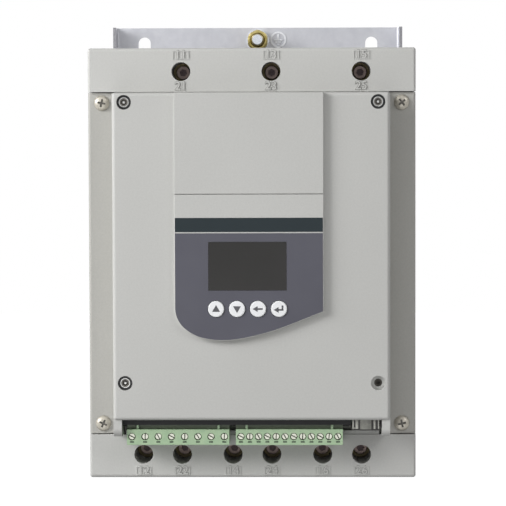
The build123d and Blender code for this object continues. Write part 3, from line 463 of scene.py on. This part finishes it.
def solids_of(name):
    """The box of each separate solid in a CAD node, in rows from below, each from the left.

    Solids that share a height and a side are in order of depth, from the front.
    """
    shape = bmesh.new()
    shape.from_mesh(frame["nodes"][name].data)
    bmesh.ops.remove_doubles(shape, verts=shape.verts, dist=TOUCHING)
    left = set(shape.verts)
    boxes = []
    while left:
        reached = [left.pop()]
        found = []
        while reached:
            vert = reached.pop()
            found.append(vert.co.copy())
            for edge in vert.link_edges:
                other = edge.other_vert(vert)
                if other in left:
                    left.remove(other)
                    reached.append(other)
        boxes.append([Vector(ends(axis) for axis in zip(*found)) for ends in (min, max)])
    shape.free()
    return sorted(boxes, key=lambda box: (round(box[0].z, 3), round(box[0].x, 3), box[0].y))


def places_of(name):
    """The X and Z of the middle of each solid in a CAD node."""
    return [((low.x + high.x) / 2, (low.z + high.z) / 2) for low, high in solids_of(name)]


def front_of(name):
    """Depth of a CAD node's foremost point, in millimetres from the wall."""
    return -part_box(name)[0][1] / MM


def begin_piece(name, material):
    """An empty mesh object of one material at the origin, open in edit mode."""
    piece = bpy.data.objects.new(name, bpy.data.meshes.new(name))
    piece.data.materials.append(material)
    bpy.context.scene.collection.objects.link(piece)
    make_active(piece)
    bpy.ops.object.mode_set(mode="EDIT")
    return piece


def end_edit():
    """Turn all faces outward and leave edit mode."""
    bpy.ops.mesh.select_all(action="SELECT")
    bpy.ops.mesh.normals_make_consistent(inside=False)
    bpy.ops.object.mode_set(mode="OBJECT")


def turned(rings, sides=32, place=(0.0, 0.0), hollow=False):
    """A shape turned about an axis towards the viewer, from its back to its front.

    Each ring is a radius and a depth in millimetres; the place is X and Z in metres. A hollow
    shape has no end faces: its last ring is its first.
    """
    x, z = place
    bpy.ops.mesh.select_all(action="DESELECT")
    radius, depth = rings[0]
    bpy.ops.mesh.primitive_circle_add(
        vertices=sides, radius=radius * MM, fill_type="NOTHING" if hollow else "NGON",
        location=(x, -depth * MM, z), rotation=(math.pi / 2, 0, 0))
    for next_radius, next_depth in rings[1:]:
        move = (depth - next_depth) * MM
        bpy.ops.mesh.extrude_region_move(TRANSFORM_OT_translate={"value": (0, move, 0)})
        grow = next_radius / radius
        bpy.ops.transform.resize(value=(grow, 1, grow), center_override=(x, -next_depth * MM, z))
        radius, depth = next_radius, next_depth
    if hollow:
        bpy.ops.mesh.select_all(action="SELECT")
        bpy.ops.mesh.remove_doubles(threshold=TOUCHING)


def bar(x, z, width, height, back, front, edge=0.0):
    """A block about a place in metres, its sizes in millimetres, its edges bevelled."""
    bpy.ops.mesh.select_all(action="DESELECT")
    bpy.ops.mesh.primitive_cube_add(
        size=1.0, location=(x, -(back + front) / 2 * MM, z),
        scale=(width * MM, (front - back) * MM, height * MM))
    if edge:
        bpy.ops.mesh.bevel(offset=edge * MM, segments=2, affect="EDGES")


def wedge(x, z, radius, turn, back, front):
    """A triangle that points up at 0 degrees and to the right at 90."""
    bpy.ops.mesh.select_all(action="DESELECT")
    bpy.ops.mesh.primitive_circle_add(
        vertices=3, radius=radius * MM, fill_type="NGON", location=(x, -back * MM, z),
        rotation=(math.pi / 2, math.radians(turn), 0))
    bpy.ops.mesh.extrude_region_move(
        TRANSFORM_OT_translate={"value": (0, (back - front) * MM, 0)})


def carve(piece, cutter):
    """Cut one piece out of another, leave the cutter's material in the cut, remove the cutter."""
    apply_modifier(piece, "BOOLEAN", operation="DIFFERENCE", object=cutter, solver="EXACT",
                   material_mode="TRANSFER")
    bpy.data.objects.remove(cutter)


def facing_front(x, z, turn):
    """The move that takes a model from the Y axis to an X and Z, turned in degrees."""
    return Matrix.Translation((x, 0, z)) @ Matrix.Rotation(math.radians(turn), 4, "Y")


def facing_down(x, y, z, turn):
    """The move that stands a model under a place, its front downward."""
    laid = Matrix.Rotation(math.radians(90), 4, "X") @ Matrix.Rotation(math.radians(turn), 4, "Y")
    return Matrix.Translation((x, y, z)) @ laid


def repeat(model, moves):
    """Copy a model that stands on the Y axis by each move, and join the copies."""
    name = model.name
    copies = []
    for move in moves:
        copy = model.copy()
        copy.data = model.data.copy()
        copy.data.transform(move)
        bpy.context.scene.collection.objects.link(copy)
        copies.append(copy)
    bpy.data.objects.remove(model)
    make_active(copies[0])
    for copy in copies:
        copy.select_set(True)
    bpy.ops.object.join()
    copies[0].name = name
    return copies[0]


def dress(piece, node, stands_for=()):
    """Smooth a finished piece; it rides with a CAD node's body and may stand for nodes."""
    make_active(piece)
    bpy.ops.object.shade_smooth_by_angle(angle=math.radians(35))
    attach(piece, frame["nodes"][node]["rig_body"])
    if stands_for:
        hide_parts(*stands_for)


def carve_bar(piece, material, width, height, back, front):
    """Cut a slot across the axis of a piece that stands on the Y axis; the material lines it."""
    cutter = begin_piece("cutter", material)
    bar(0, 0, width, height, back, front)
    end_edit()
    carve(piece, cutter)


def carve_cross(piece, span, width, back, front):
    """Cut a cross recess into a screw, as two slots lined with painted shade."""
    carve_bar(piece, drive_recess_painted_shade, span, width, back, front)
    carve_bar(piece, drive_recess_painted_shade, width, span, back, front)


def case_screws():
    """Domed cross-head screws of the casing, each left at its own turn."""
    head, shank = 2.6, 23
    turns = (24, 78, 12, 52)
    front = front_of("case_screws")
    seat = front - head
    screw = begin_piece("case_screw_heads", screw_nickel)
    turned([(2.1, seat - shank), (2.1, seat), (4.3, seat), (4.45, seat + 0.3), (4.3, seat + 0.9),
            (3.9, seat + 1.4), (3.3, seat + 1.85), (2.4, seat + 2.25), (1.3, seat + 2.5),
            (0.02, front)])
    end_edit()
    carve_cross(screw, 4.6, 1.1, seat + 1.2, front + 1)
    places = [facing_front(x, z, turn) for (x, z), turn in zip(places_of("case_screws"), turns)]
    dress(repeat(screw, places), "case_screws", ["case_screws"])


def cover_screws():
    """Socket screws with a pin, each on a dark captive washer in its counterbore."""
    shank = 31
    seat = front_of("cover_screws") - COVER_SCREW_HEAD
    places = [facing_front(x, z, 0) for x, z in places_of("cover_screws")]
    screw = begin_piece("cover_screw_heads", screw_zinc)
    turned([(1.95, seat - shank), (1.95, seat), (2.8, seat), (2.95, seat + 0.2),
            (2.95, seat + 1.2), (2.75, seat + 1.5), (2.55, seat + 1.5)])
    end_edit()
    # The dish in the head is lined with painted shade
    dish = begin_piece("cutter", drive_recess_painted_shade)
    turned([(2.2, seat + 0.9), (2.5, seat + 2.0)])
    end_edit()
    carve(screw, dish)
    # The hexagon socket is lined with painted shade
    socket = begin_piece("cutter", deep_recess_painted_shade)
    turned([(1.7, seat + 0.2), (1.75, seat + 2.0)], sides=6)
    end_edit()
    carve(screw, socket)
    make_active(screw)
    bpy.ops.object.mode_set(mode="EDIT")
    turned([(1.0, seat + 0.1), (0.95, seat + 0.8), (0.6, seat + 1.2), (0.02, seat + 1.25)],
           sides=20)
    end_edit()
    dress(repeat(screw, places), "cover_screws", ["cover_screws"])
    washer = begin_piece("cover_screw_washers", black_polyamide)
    turned([(3.0, seat), (4.15, seat), (4.15, seat + 0.8), (3.9, seat + 1.0), (3.0, seat + 1.0),
            (3.0, seat)], hollow=True)
    end_edit()
    dress(repeat(washer, places), "cover_screws")


def plug_screws(name):
    """Slotted clamp screws of a plug, a little sunk and each at a turn of its own."""
    sunk = 0.4
    front = front_of(name) - sunk
    screw = begin_piece(name + "_slotted", plug_nickel)
    turned([(1.88, front - 3.5), (1.88, front - 0.2), (1.65, front)], sides=24)
    end_edit()
    # The slot is lined with painted shade
    carve_bar(screw, slot_painted_shade, 4.2, 0.6, front - 0.5, front + 1)
    places = [facing_front(x, z, 25 + 67 * i % 100) for i, (x, z) in enumerate(places_of(name))]
    dress(repeat(screw, places), name, [name])


def pole_marks(plug, screws):
    """A short dark dash under each screw of a plug."""
    drop, width, height, sunk, proud = 3.0, 2.3, 0.85, 0.2, 0.08
    front = front_of(plug)
    marks = begin_piece(plug + "_marks", mark_ink)
    for x, z in places_of(screws):
        bar(x, z - drop * MM, width, height, front - sunk, front + proud, 0.05)
    end_edit()
    dress(marks, plug)


def clamp_screws():
    """Hexagon-socket clamp screws of the lugs, with a worn bevel round the top."""
    length, socket_depth, socket_radius = 14, 0.9, 2.31
    front = front_of("lug_screws")
    screw = begin_piece("clamp_screws", clamp_screw)
    turned([(4.0, front - length), (4.0, front - 0.35), (3.7, front), (2.5, front)])
    end_edit()
    # The hexagon socket is lined with painted shade, partly oxide
    cutter = begin_piece("cutter", socket_oxide_painted_shade)
    turned([(socket_radius, front - socket_depth), (socket_radius, front + 1)], sides=6)
    end_edit()
    carve(screw, cutter)
    places = [facing_front(x, z, 17 * i) for i, (x, z) in enumerate(places_of("lug_screws"))]
    dress(repeat(screw, places), "lug_screws", ["lug_screws"])


def fan_screws():
    """Cross-head screws that hold guards and fans from below."""
    head, shank = 2.2, 13.0
    screw = begin_piece("fan_screw_heads", screw_nickel)
    turned([(2.0, -shank), (2.0, 0.0), (3.5, 0.0), (3.55, 0.5), (3.2, 1.2), (2.4, 1.75),
            (1.3, 2.05), (0.02, 2.15)], sides=24)
    end_edit()
    carve_cross(screw, 3.8, 0.9, 0.9, 3.0)
    places = [facing_down((low.x + high.x) / 2, (low.y + high.y) / 2, low.z + head * MM, 31 * i)
              for i, (low, high) in enumerate(solids_of("fan_screws"))]
    dress(repeat(screw, places), "fan_screws", ["fan_screws"])


def wire_ring(x, y, z, radius, wire, steps):
    """A ring of round wire about a vertical axis; place in metres, sizes in millimetres."""
    bpy.ops.mesh.select_all(action="DESELECT")
    bpy.ops.mesh.primitive_circle_add(
        vertices=10, radius=wire * MM, fill_type="NOTHING",
        location=(x + radius * MM, y, z), rotation=(math.pi / 2, 0, 0))
    bpy.ops.mesh.spin(steps=steps, angle=math.tau, center=(x, y, z), axis=(0, 0, 1))
    bpy.ops.mesh.select_all(action="SELECT")
    bpy.ops.mesh.remove_doubles(threshold=TOUCHING)


def wire_rod(start, end, wire):
    """A straight level wire between two places in metres, its radius in millimetres."""
    run = end - start
    bpy.ops.mesh.select_all(action="DESELECT")
    bpy.ops.mesh.primitive_circle_add(
        vertices=10, radius=wire * MM, fill_type="NGON", location=start,
        rotation=(math.pi / 2, 0, math.atan2(run.y, run.x) + math.pi / 2))
    bpy.ops.mesh.extrude_region_move(TRANSFORM_OT_translate={"value": run})


def fan_guard(name):
    """Finger guard of round wire: rings welded on two diagonals that end in eyes."""
    ring_wire, rod_wire, eye_wire, eye_radius = 0.8, 0.95, 0.85, 2.95
    low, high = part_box(name)
    x, y = (low.x + high.x) / 2, (low.y + high.y) / 2
    reach = (high.x - low.x) / 2 - (eye_radius + 1.0) * MM
    top = high.z - 0.05 * MM
    rod_level = top - 0.9 * MM
    guard = begin_piece(name + "_wire", guard_nickel)
    for radius in (8.0, 16.0, 24.0, 32.0):
        wire_ring(x, y, top - ring_wire * MM, radius, ring_wire, 60)
    for across in (-1, 1):
        eyes = [Vector((x + side * reach, y + side * across * reach, rod_level))
                for side in (-1, 1)]
        for eye in eyes:
            wire_ring(*eye, eye_radius, eye_wire, 20)
        inward = (eyes[1] - eyes[0]).normalized() * eye_radius * MM
        wire_rod(eyes[0] + inward, eyes[1] - inward, rod_wire)
    end_edit()
    dress(guard, name, [name])


def phase_barriers():
    """Sheets of vulcanised fibre between the power modules, each folded to a foot."""
    sheet, height, foot_width, offset, play, z = 0.8, 120.0, 8.0, 26.0, 0.5, 5.0 * MM
    low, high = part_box("thyristor_module_2")
    sink = front_of("heat_sink")
    board = -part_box("firing_board")[1].y / MM
    for side, word, rise in ((-1, "left", 20.0), (1, "right", 2.0)):
        x = (low.x + high.x) / 2 + side * offset * MM
        back, foot_face = sink + rise - sheet, sink + rise
        barrier = begin_piece("phase_barrier_" + word, barrier_fibre)
        bar(x, z, sheet, height, back, board - play)
        end_edit()
        foot = begin_piece("foot", barrier_fibre)
        bar(x + side * (foot_width - sheet) / 2 * MM, z, foot_width, height, back, foot_face)
        end_edit()
        apply_modifier(barrier, "BOOLEAN", operation="UNION", object=foot, solver="EXACT")
        bpy.data.objects.remove(foot)
        dress(barrier, "firing_board")


def earth_nut():
    """Hexagon nut whose corners are turned well down, round the stud."""
    (low, high), = solids_of("earth_nut")
    back, front = -high.y / MM, -low.y / MM
    place = ((low.x + high.x) / 2, (low.z + high.z) / 2)
    nut = begin_piece("earth_nut_turned", nut_brass)
    turned([(7.5, back), (7.5, front)], sides=6, place=place)
    end_edit()
    barrel = begin_piece("cutter", nut_brass)
    turned([(6.6, back), (6.95, back + 0.5), (6.95, front - 2.6), (6.5, front - 1.2),
            (5.6, front)], sides=48, place=place)
    end_edit()
    apply_modifier(nut, "BOOLEAN", operation="INTERSECT", object=barrel, solver="EXACT")
    bpy.data.objects.remove(barrel)
    bore = begin_piece("cutter", nut_brass)
    turned([(4.05, back - 1), (4.05, front - 1.0), (5.0, front + 0.2)], sides=48, place=place)
    end_edit()
    carve(nut, bore)
    dress(nut, "earth_nut", ["earth_nut"])


def earth_stud():
    """The stud with its thread drawn as rings, and a small flat end."""
    thread_start, pitch = 9.0, 1.25
    (low, high), = solids_of("earth_stud")
    back, front = -high.y / MM, -low.y / MM
    place = ((low.x + high.x) / 2, (low.z + high.z) / 2)
    rings = [(4.0, back), (4.0, thread_start)]
    for i in range(5):
        start = thread_start + pitch * i
        rings += [(3.45, start + 0.6), (3.95, start + 1.2)]
    rings += [(3.5, front - 3.2), (3.95, front - 2.6), (3.95, front - 1.3), (3.35, front - 0.4)]
    stud = begin_piece("earth_stud_thread", thread_zinc)
    turned(rings, place=place)
    end_edit()
    dress(stud, "earth_stud", ["earth_stud"])
    end = begin_piece("earth_stud_end", stud_steel)
    turned([(3.3, front - 1.0), (3.3, front - 0.2), (3.1, front)], place=place)
    end_edit()
    dress(end, "earth_stud")


def seam_lip():
    """A lip of the line shroud that closes its seam where the front cover stands before it."""
    play, sunk, depth = 0.05, 0.7, 3.3
    low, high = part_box("front_cover")
    seam_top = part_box("line_shroud")[0].z
    height = (seam_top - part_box("front_casing")[1].z) / MM - play
    front = front_of("line_shroud") - FRAME_RELIEF - sunk
    lip = begin_piece("seam_lip", shroud_abs)
    bar((low.x + high.x) / 2, seam_top - height / 2 * MM, (high.x - low.x) / MM, height,
        front - depth, front)
    end_edit()
    dress(lip, "line_shroud")


def mouth_painted_shadow():
    """A thin matt black strip inside the cover, before the tops of the headers: a painted shadow
    under the cover's lower edge.
    """
    height, sheet, rise, leg, play = 7.0, 0.6, 6.6, 5.0, 0.5
    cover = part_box("front_cover")[0]
    left = cover.x + leg * MM
    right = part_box("network_socket")[0].x - play * MM
    back = front_of("relay_header") + 2.5
    lip = begin_piece("mouth_painted_shadow", shadow_strip_black)
    bar((left + right) / 2, cover.z + (rise + height / 2) * MM, (right - left) / MM, height,
        back, back + sheet, 0.2)
    end_edit()
    dress(lip, "front_cover")


def earth_sign():
    """The earth symbol, embossed in the plate beside the stud, its strokes painted bright as
    highlights.
    """
    x, z = 13.5 * MM, 137.2 * MM
    back, front = 1.9, 2.5
    outer, inner, stroke, bevel = 5.3, 4.2, 0.95, 0.15
    sign = begin_piece("earth_sign", zinc_painted_highlight)
    turned([(outer, back), (outer, front), (inner, front), (inner, back), (outer, back)],
           place=(x, z), hollow=True)
    bar(x, z + 1.9 * MM, 1.2, 3.6, back, front, bevel)
    for drop, width in ((0.3, 5.8), (1.8, 3.8), (3.2, 1.8)):
        bar(x, z - drop * MM, width, stroke, back, front, bevel)
    end_edit()
    dress(sign, "mounting_plate")


def socket_springs():
    """Shield springs with a lower lip, and a contact plate, in the face of the network socket."""
    sunk, proud, height, bevel = 1.2, 0.3, 6.6, 0.25
    front = front_of("network_socket")
    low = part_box("network_socket")[0]
    z = low.z + 3.9 * MM
    springs = begin_piece("socket_springs", spring_tin_painted_shade)
    for right, width in ((0.75, 1.1), (2.9, 1.8), (13.1, 1.4), (15.4, 1.0)):
        bar(low.x + right * MM, z, width, height, front - sunk, front + proud, bevel)
    bar(low.x + 2.0 * MM, z - 2.7 * MM, 3.2, 0.9, front - 1.0, front + 0.1, bevel)
    end_edit()
    dress(springs, "network_socket")
    contact = begin_piece("socket_plate", contact_tin_painted_shade)
    bar(low.x + 8.0 * MM, z + 2.6 * MM, 6.7, 12.4, front - sunk, front + 0.1, bevel)
    end_edit()
    dress(contact, "network_socket")


def empty_bush():
    """The threaded bush of the missing cover screw, at the bottom of its counterbore."""
    places = places_of("cover_screws")
    place = (max(x for x, z in places), min(z for x, z in places))
    face = front_of("cover_screws") - COVER_SCREW_HEAD - 0.9
    # Its dark colour is painted shade at the bottom of the counterbore
    bush = begin_piece("empty_bush", deep_recess_painted_shade)
    turned([(1.0, face - 3.1), (2.29, face - 3.1), (2.29, face), (1.3, face),
            (1.0, face - 0.3), (0.9, face - 2.1), (0.02, face - 2.1)], place=place)
    end_edit()
    dress(bush, "front_cover")


def raised_numbers(name, node, marks, material, swell, rise):
    """Plain numbers on a shroud, each at its X and Z in metres, swollen and raised by mm."""
    size = 6.9
    face = front_of(node) - FRAME_RELIEF
    pieces = []
    for word, x, z in marks:
        deselect()
        bpy.ops.object.text_add(location=(x, -face * MM, z), rotation=(math.pi / 2, 0, 0))
        text = bpy.context.active_object
        text.data.body = word
        text.data.size = size * MM
        text.data.extrude = rise * MM
        text.data.offset = swell * MM
        text.data.align_x = "CENTER"
        text.data.align_y = "CENTER"
        bpy.ops.object.convert(target="MESH")
        bpy.ops.object.transform_apply(location=True, rotation=True, scale=True)
        pieces.append(bpy.context.active_object)
    make_active(pieces[0])
    for piece in pieces:
        piece.select_set(True)
    bpy.ops.object.join()
    pieces[0].name = name
    pieces[0].data.materials.clear()
    pieces[0].data.materials.append(material)
    dress(pieces[0], node)


def numbers(node, marks):
    """Moulded numbers and a thin grey outline along their strokes, painted shade for their edges.
    """
    raised_numbers(node + "_numbers", node, marks, shroud_abs, swell=0.1, rise=0.55)
    raised_numbers(node + "_number_painted_shade", node, marks, stroke_painted_shade, swell=0.3, rise=0.06)


def symbol(key, blocks):
    """A symbol on a key, from wedges and bars that are placed from the key's middle in mm."""
    cap_face = front_of(key) - KEY_SETBACK
    back, front = cap_face - 0.1, cap_face + 0.03
    (x, z), = places_of(key)
    icon = begin_piece(key + "_symbol", symbol_ink)
    for shape, right, up, *sizes in blocks:
        shape(x + right * MM, z + up * MM, *sizes, back, front)
    end_edit()
    dress(icon, key)


def key_symbols():
    """Two triangles, a back arrow and an enter arrow."""
    symbol("key_up", [(wedge, 0, -0.3, 2.6, 0)])
    symbol("key_down", [(wedge, 0, 0.3, 2.6, 180)])
    symbol("key_back", [(wedge, -1.2, 0, 1.9, -90), (bar, 1.1, 0, 3.2, 1.0)])
    symbol("key_enter", [(wedge, -1.2, -0.5, 1.9, -90), (bar, 1.0, -0.5, 3.0, 1.0),
                         (bar, 2.0, 0.8, 1.0, 2.4)])


def keys():
    """Key caps with a soft edge, their faces a little behind the CAD model's."""
    for name in ("key_up", "key_down", "key_back", "key_enter"):
        front = front_of(name) * MM
        cap = rounded(name, 0.25, steps=3, angle=25.0)
        for vert in cap.data.vertices:
            if vert.co.y < 0.2 * MM - front:
                vert.co.y += KEY_SETBACK * MM


# Camera, light and floor

def place_camera():
    """The photo's viewpoint: slightly right of and above the middle, from 1.6 m."""
    data = bpy.data.cameras.new("camera")
    data.lens = 175.7
    data.sensor_width = 36.0
    data.clip_start = 0.1
    data.clip_end = 50.0
    camera = bpy.data.objects.new("camera", data)
    bpy.context.scene.collection.objects.link(camera)
    camera.location = (0.030, -1.641, 0.0772)
    turn = Matrix.Rotation(math.radians(1.176), 4, "Z")
    pitch = Matrix.Rotation(math.radians(90 - 2.84), 4, "X")
    roll = Matrix.Rotation(math.radians(-0.177), 4, "Z")
    camera.rotation_mode = "QUATERNION"
    camera.rotation_quaternion = (turn @ pitch @ roll).to_quaternion()
    bpy.context.scene.camera = camera


def add_lamp(name, place, size, power, aim=(0, -0.15, 0)):
    """A soft square lamp at a place, turned towards a point inside the starter."""
    data = bpy.data.lights.new(name, "AREA")
    data.size = size
    data.energy = power
    lamp = bpy.data.objects.new(name, data)
    bpy.context.scene.collection.objects.link(lamp)
    lamp.location = place
    direction = Vector(aim) - Vector(place)
    lamp.rotation_mode = "QUATERNION"
    lamp.rotation_quaternion = direction.to_track_quat("-Z", "Y")


def seen_directly(tree):
    """1 for rays that show the background: to the camera, in a reflection or through a window."""
    path = add_node(tree, "ShaderNodeLightPath").outputs
    seen = path["Is Camera Ray"]
    for other in ("Is Glossy Ray", "Is Transmission Ray"):
        seen = add_node(tree, "ShaderNodeMath", {"operation": "MAXIMUM"}, {
            0: seen, 1: path[other],
        }).outputs[0]
    return seen


def white_world():
    """Even pale light from all round, shown as white behind the object."""
    world = bpy.data.worlds.new("studio")
    world.use_nodes = True
    bpy.context.scene.world = world
    tree = world.node_tree
    tree.nodes.clear()
    white = linear("ffffff")
    even = add_node(tree, "ShaderNodeBackground", links={"Color": white, "Strength": 0.1})
    shown = add_node(tree, "ShaderNodeBackground", links={"Color": white, "Strength": 1.0})
    mix = add_node(tree, "ShaderNodeMixShader", links={
        0: seen_directly(tree), 1: even.outputs[0], 2: shown.outputs[0],
    })
    add_node(tree, "ShaderNodeOutputWorld", links={"Surface": mix.outputs[0]})


def pale_floor():
    """A plain pale floor well below the starter, which hangs as on its wall.

    The camera and mirrors see it lit a little more than the object does, so it keeps a faint
    shadow and otherwise runs into the white behind.
    """
    deselect()
    bpy.ops.mesh.primitive_circle_add(vertices=64, radius=40.0, fill_type="NGON",
                                      location=(0, 0, -3.0))
    floor = bpy.context.active_object
    floor.name = "floor"
    material, tree, shader, _ = begin_material("floor_paint", roughness=0.9)
    shader.inputs["Base Color"].default_value = linear("f6f6f6")
    shader.inputs["Specular IOR Level"].default_value = 0.0
    glow = add_node(tree, "ShaderNodeEmission", links={
        "Color": linear("ffffff"), "Strength": 0.95,
    })
    lit = add_node(tree, "ShaderNodeAddShader", links={
        0: shader.outputs["BSDF"], 1: glow.outputs["Emission"],
    })
    mix = add_node(tree, "ShaderNodeMixShader", links={
        0: seen_directly(tree), 1: shader.outputs["BSDF"], 2: lit.outputs[0],
    })
    tree.links.new(mix.outputs[0], tree.nodes["Material Output"].inputs["Surface"])
    floor.data.materials.append(material)


for name in ("front_cover", "panel_bezel"):
    rounded(name)
for name in ("relay_plug", "control_plug"):
    rounded(name, 0.3, shortest=2.0)
for name in ("relay_header", "control_header", "network_socket"):
    rounded(name, 0.2)
for name, width, proud in (("line_shroud", 0.0, FRAME_RELIEF),
                           ("motor_shroud", 0.4, FRAME_RELIEF),
                           ("front_casing", 0.0, 0.0), ("rear_casing", 0.4, 0.0)):
    rounded(name, width, corner=0.9, front=front_of(name) - proud)
plate()

case_screws()
cover_screws()
plug_screws("relay_plug_screws")
plug_screws("control_plug_screws")
pole_marks("relay_plug", "relay_plug_screws")
pole_marks("control_plug", "control_plug_screws")
clamp_screws()
fan_screws()
fan_guard("fan_guard_left")
fan_guard("fan_guard_right")
phase_barriers()
earth_nut()
earth_stud()
seam_lip()
mouth_painted_shadow()
earth_sign()
socket_springs()
empty_bush()
keys()
key_symbols()
# Heights above and below the middle of the starter at which the rows of numbers stand
outer_row, inner_row = 120.9 * MM, 102.9 * MM
line_x = sorted({round(x, 5) for x, z in places_of("lug_screws") if z > 0})
motor_x = sorted({round(x, 5) for x, z in places_of("lug_screws") if z < 0})
numbers("line_shroud", [
    (word, x, z) for z, words in ((outer_row, ("11", "13", "15")), (inner_row, ("21", "23", "25")))
    for word, x in zip(words, line_x)])
numbers("motor_shroud", [
    (word, x, -outer_row) for word, x in zip(("12", "22", "14", "24", "16", "26"), motor_x)])

place_camera()
add_lamp("near_lamp", (-0.7, -0.75, 0.5), size=0.5, power=3.4)
add_lamp("left_lamp", (-1.5, -0.9, 0.6), size=0.8, power=25.2)
add_lamp("fill_lamp", (1.2, -1.4, 0.9), size=0.8, power=8.2)
add_lamp("low_lamp", (-0.2, -1.8, -0.8), size=1.4, power=7.4)
add_lamp("back_left_lamp", (-1.3, 1.6, 0.8), size=1.0, power=14.0, aim=(0, -0.1, 0))
add_lamp("back_right_lamp", (1.3, 1.6, 0.8), size=1.0, power=10.0, aim=(0, -0.1, 0))
white_world()
pale_floor()
bpy.context.scene.view_settings.view_transform = "Standard"
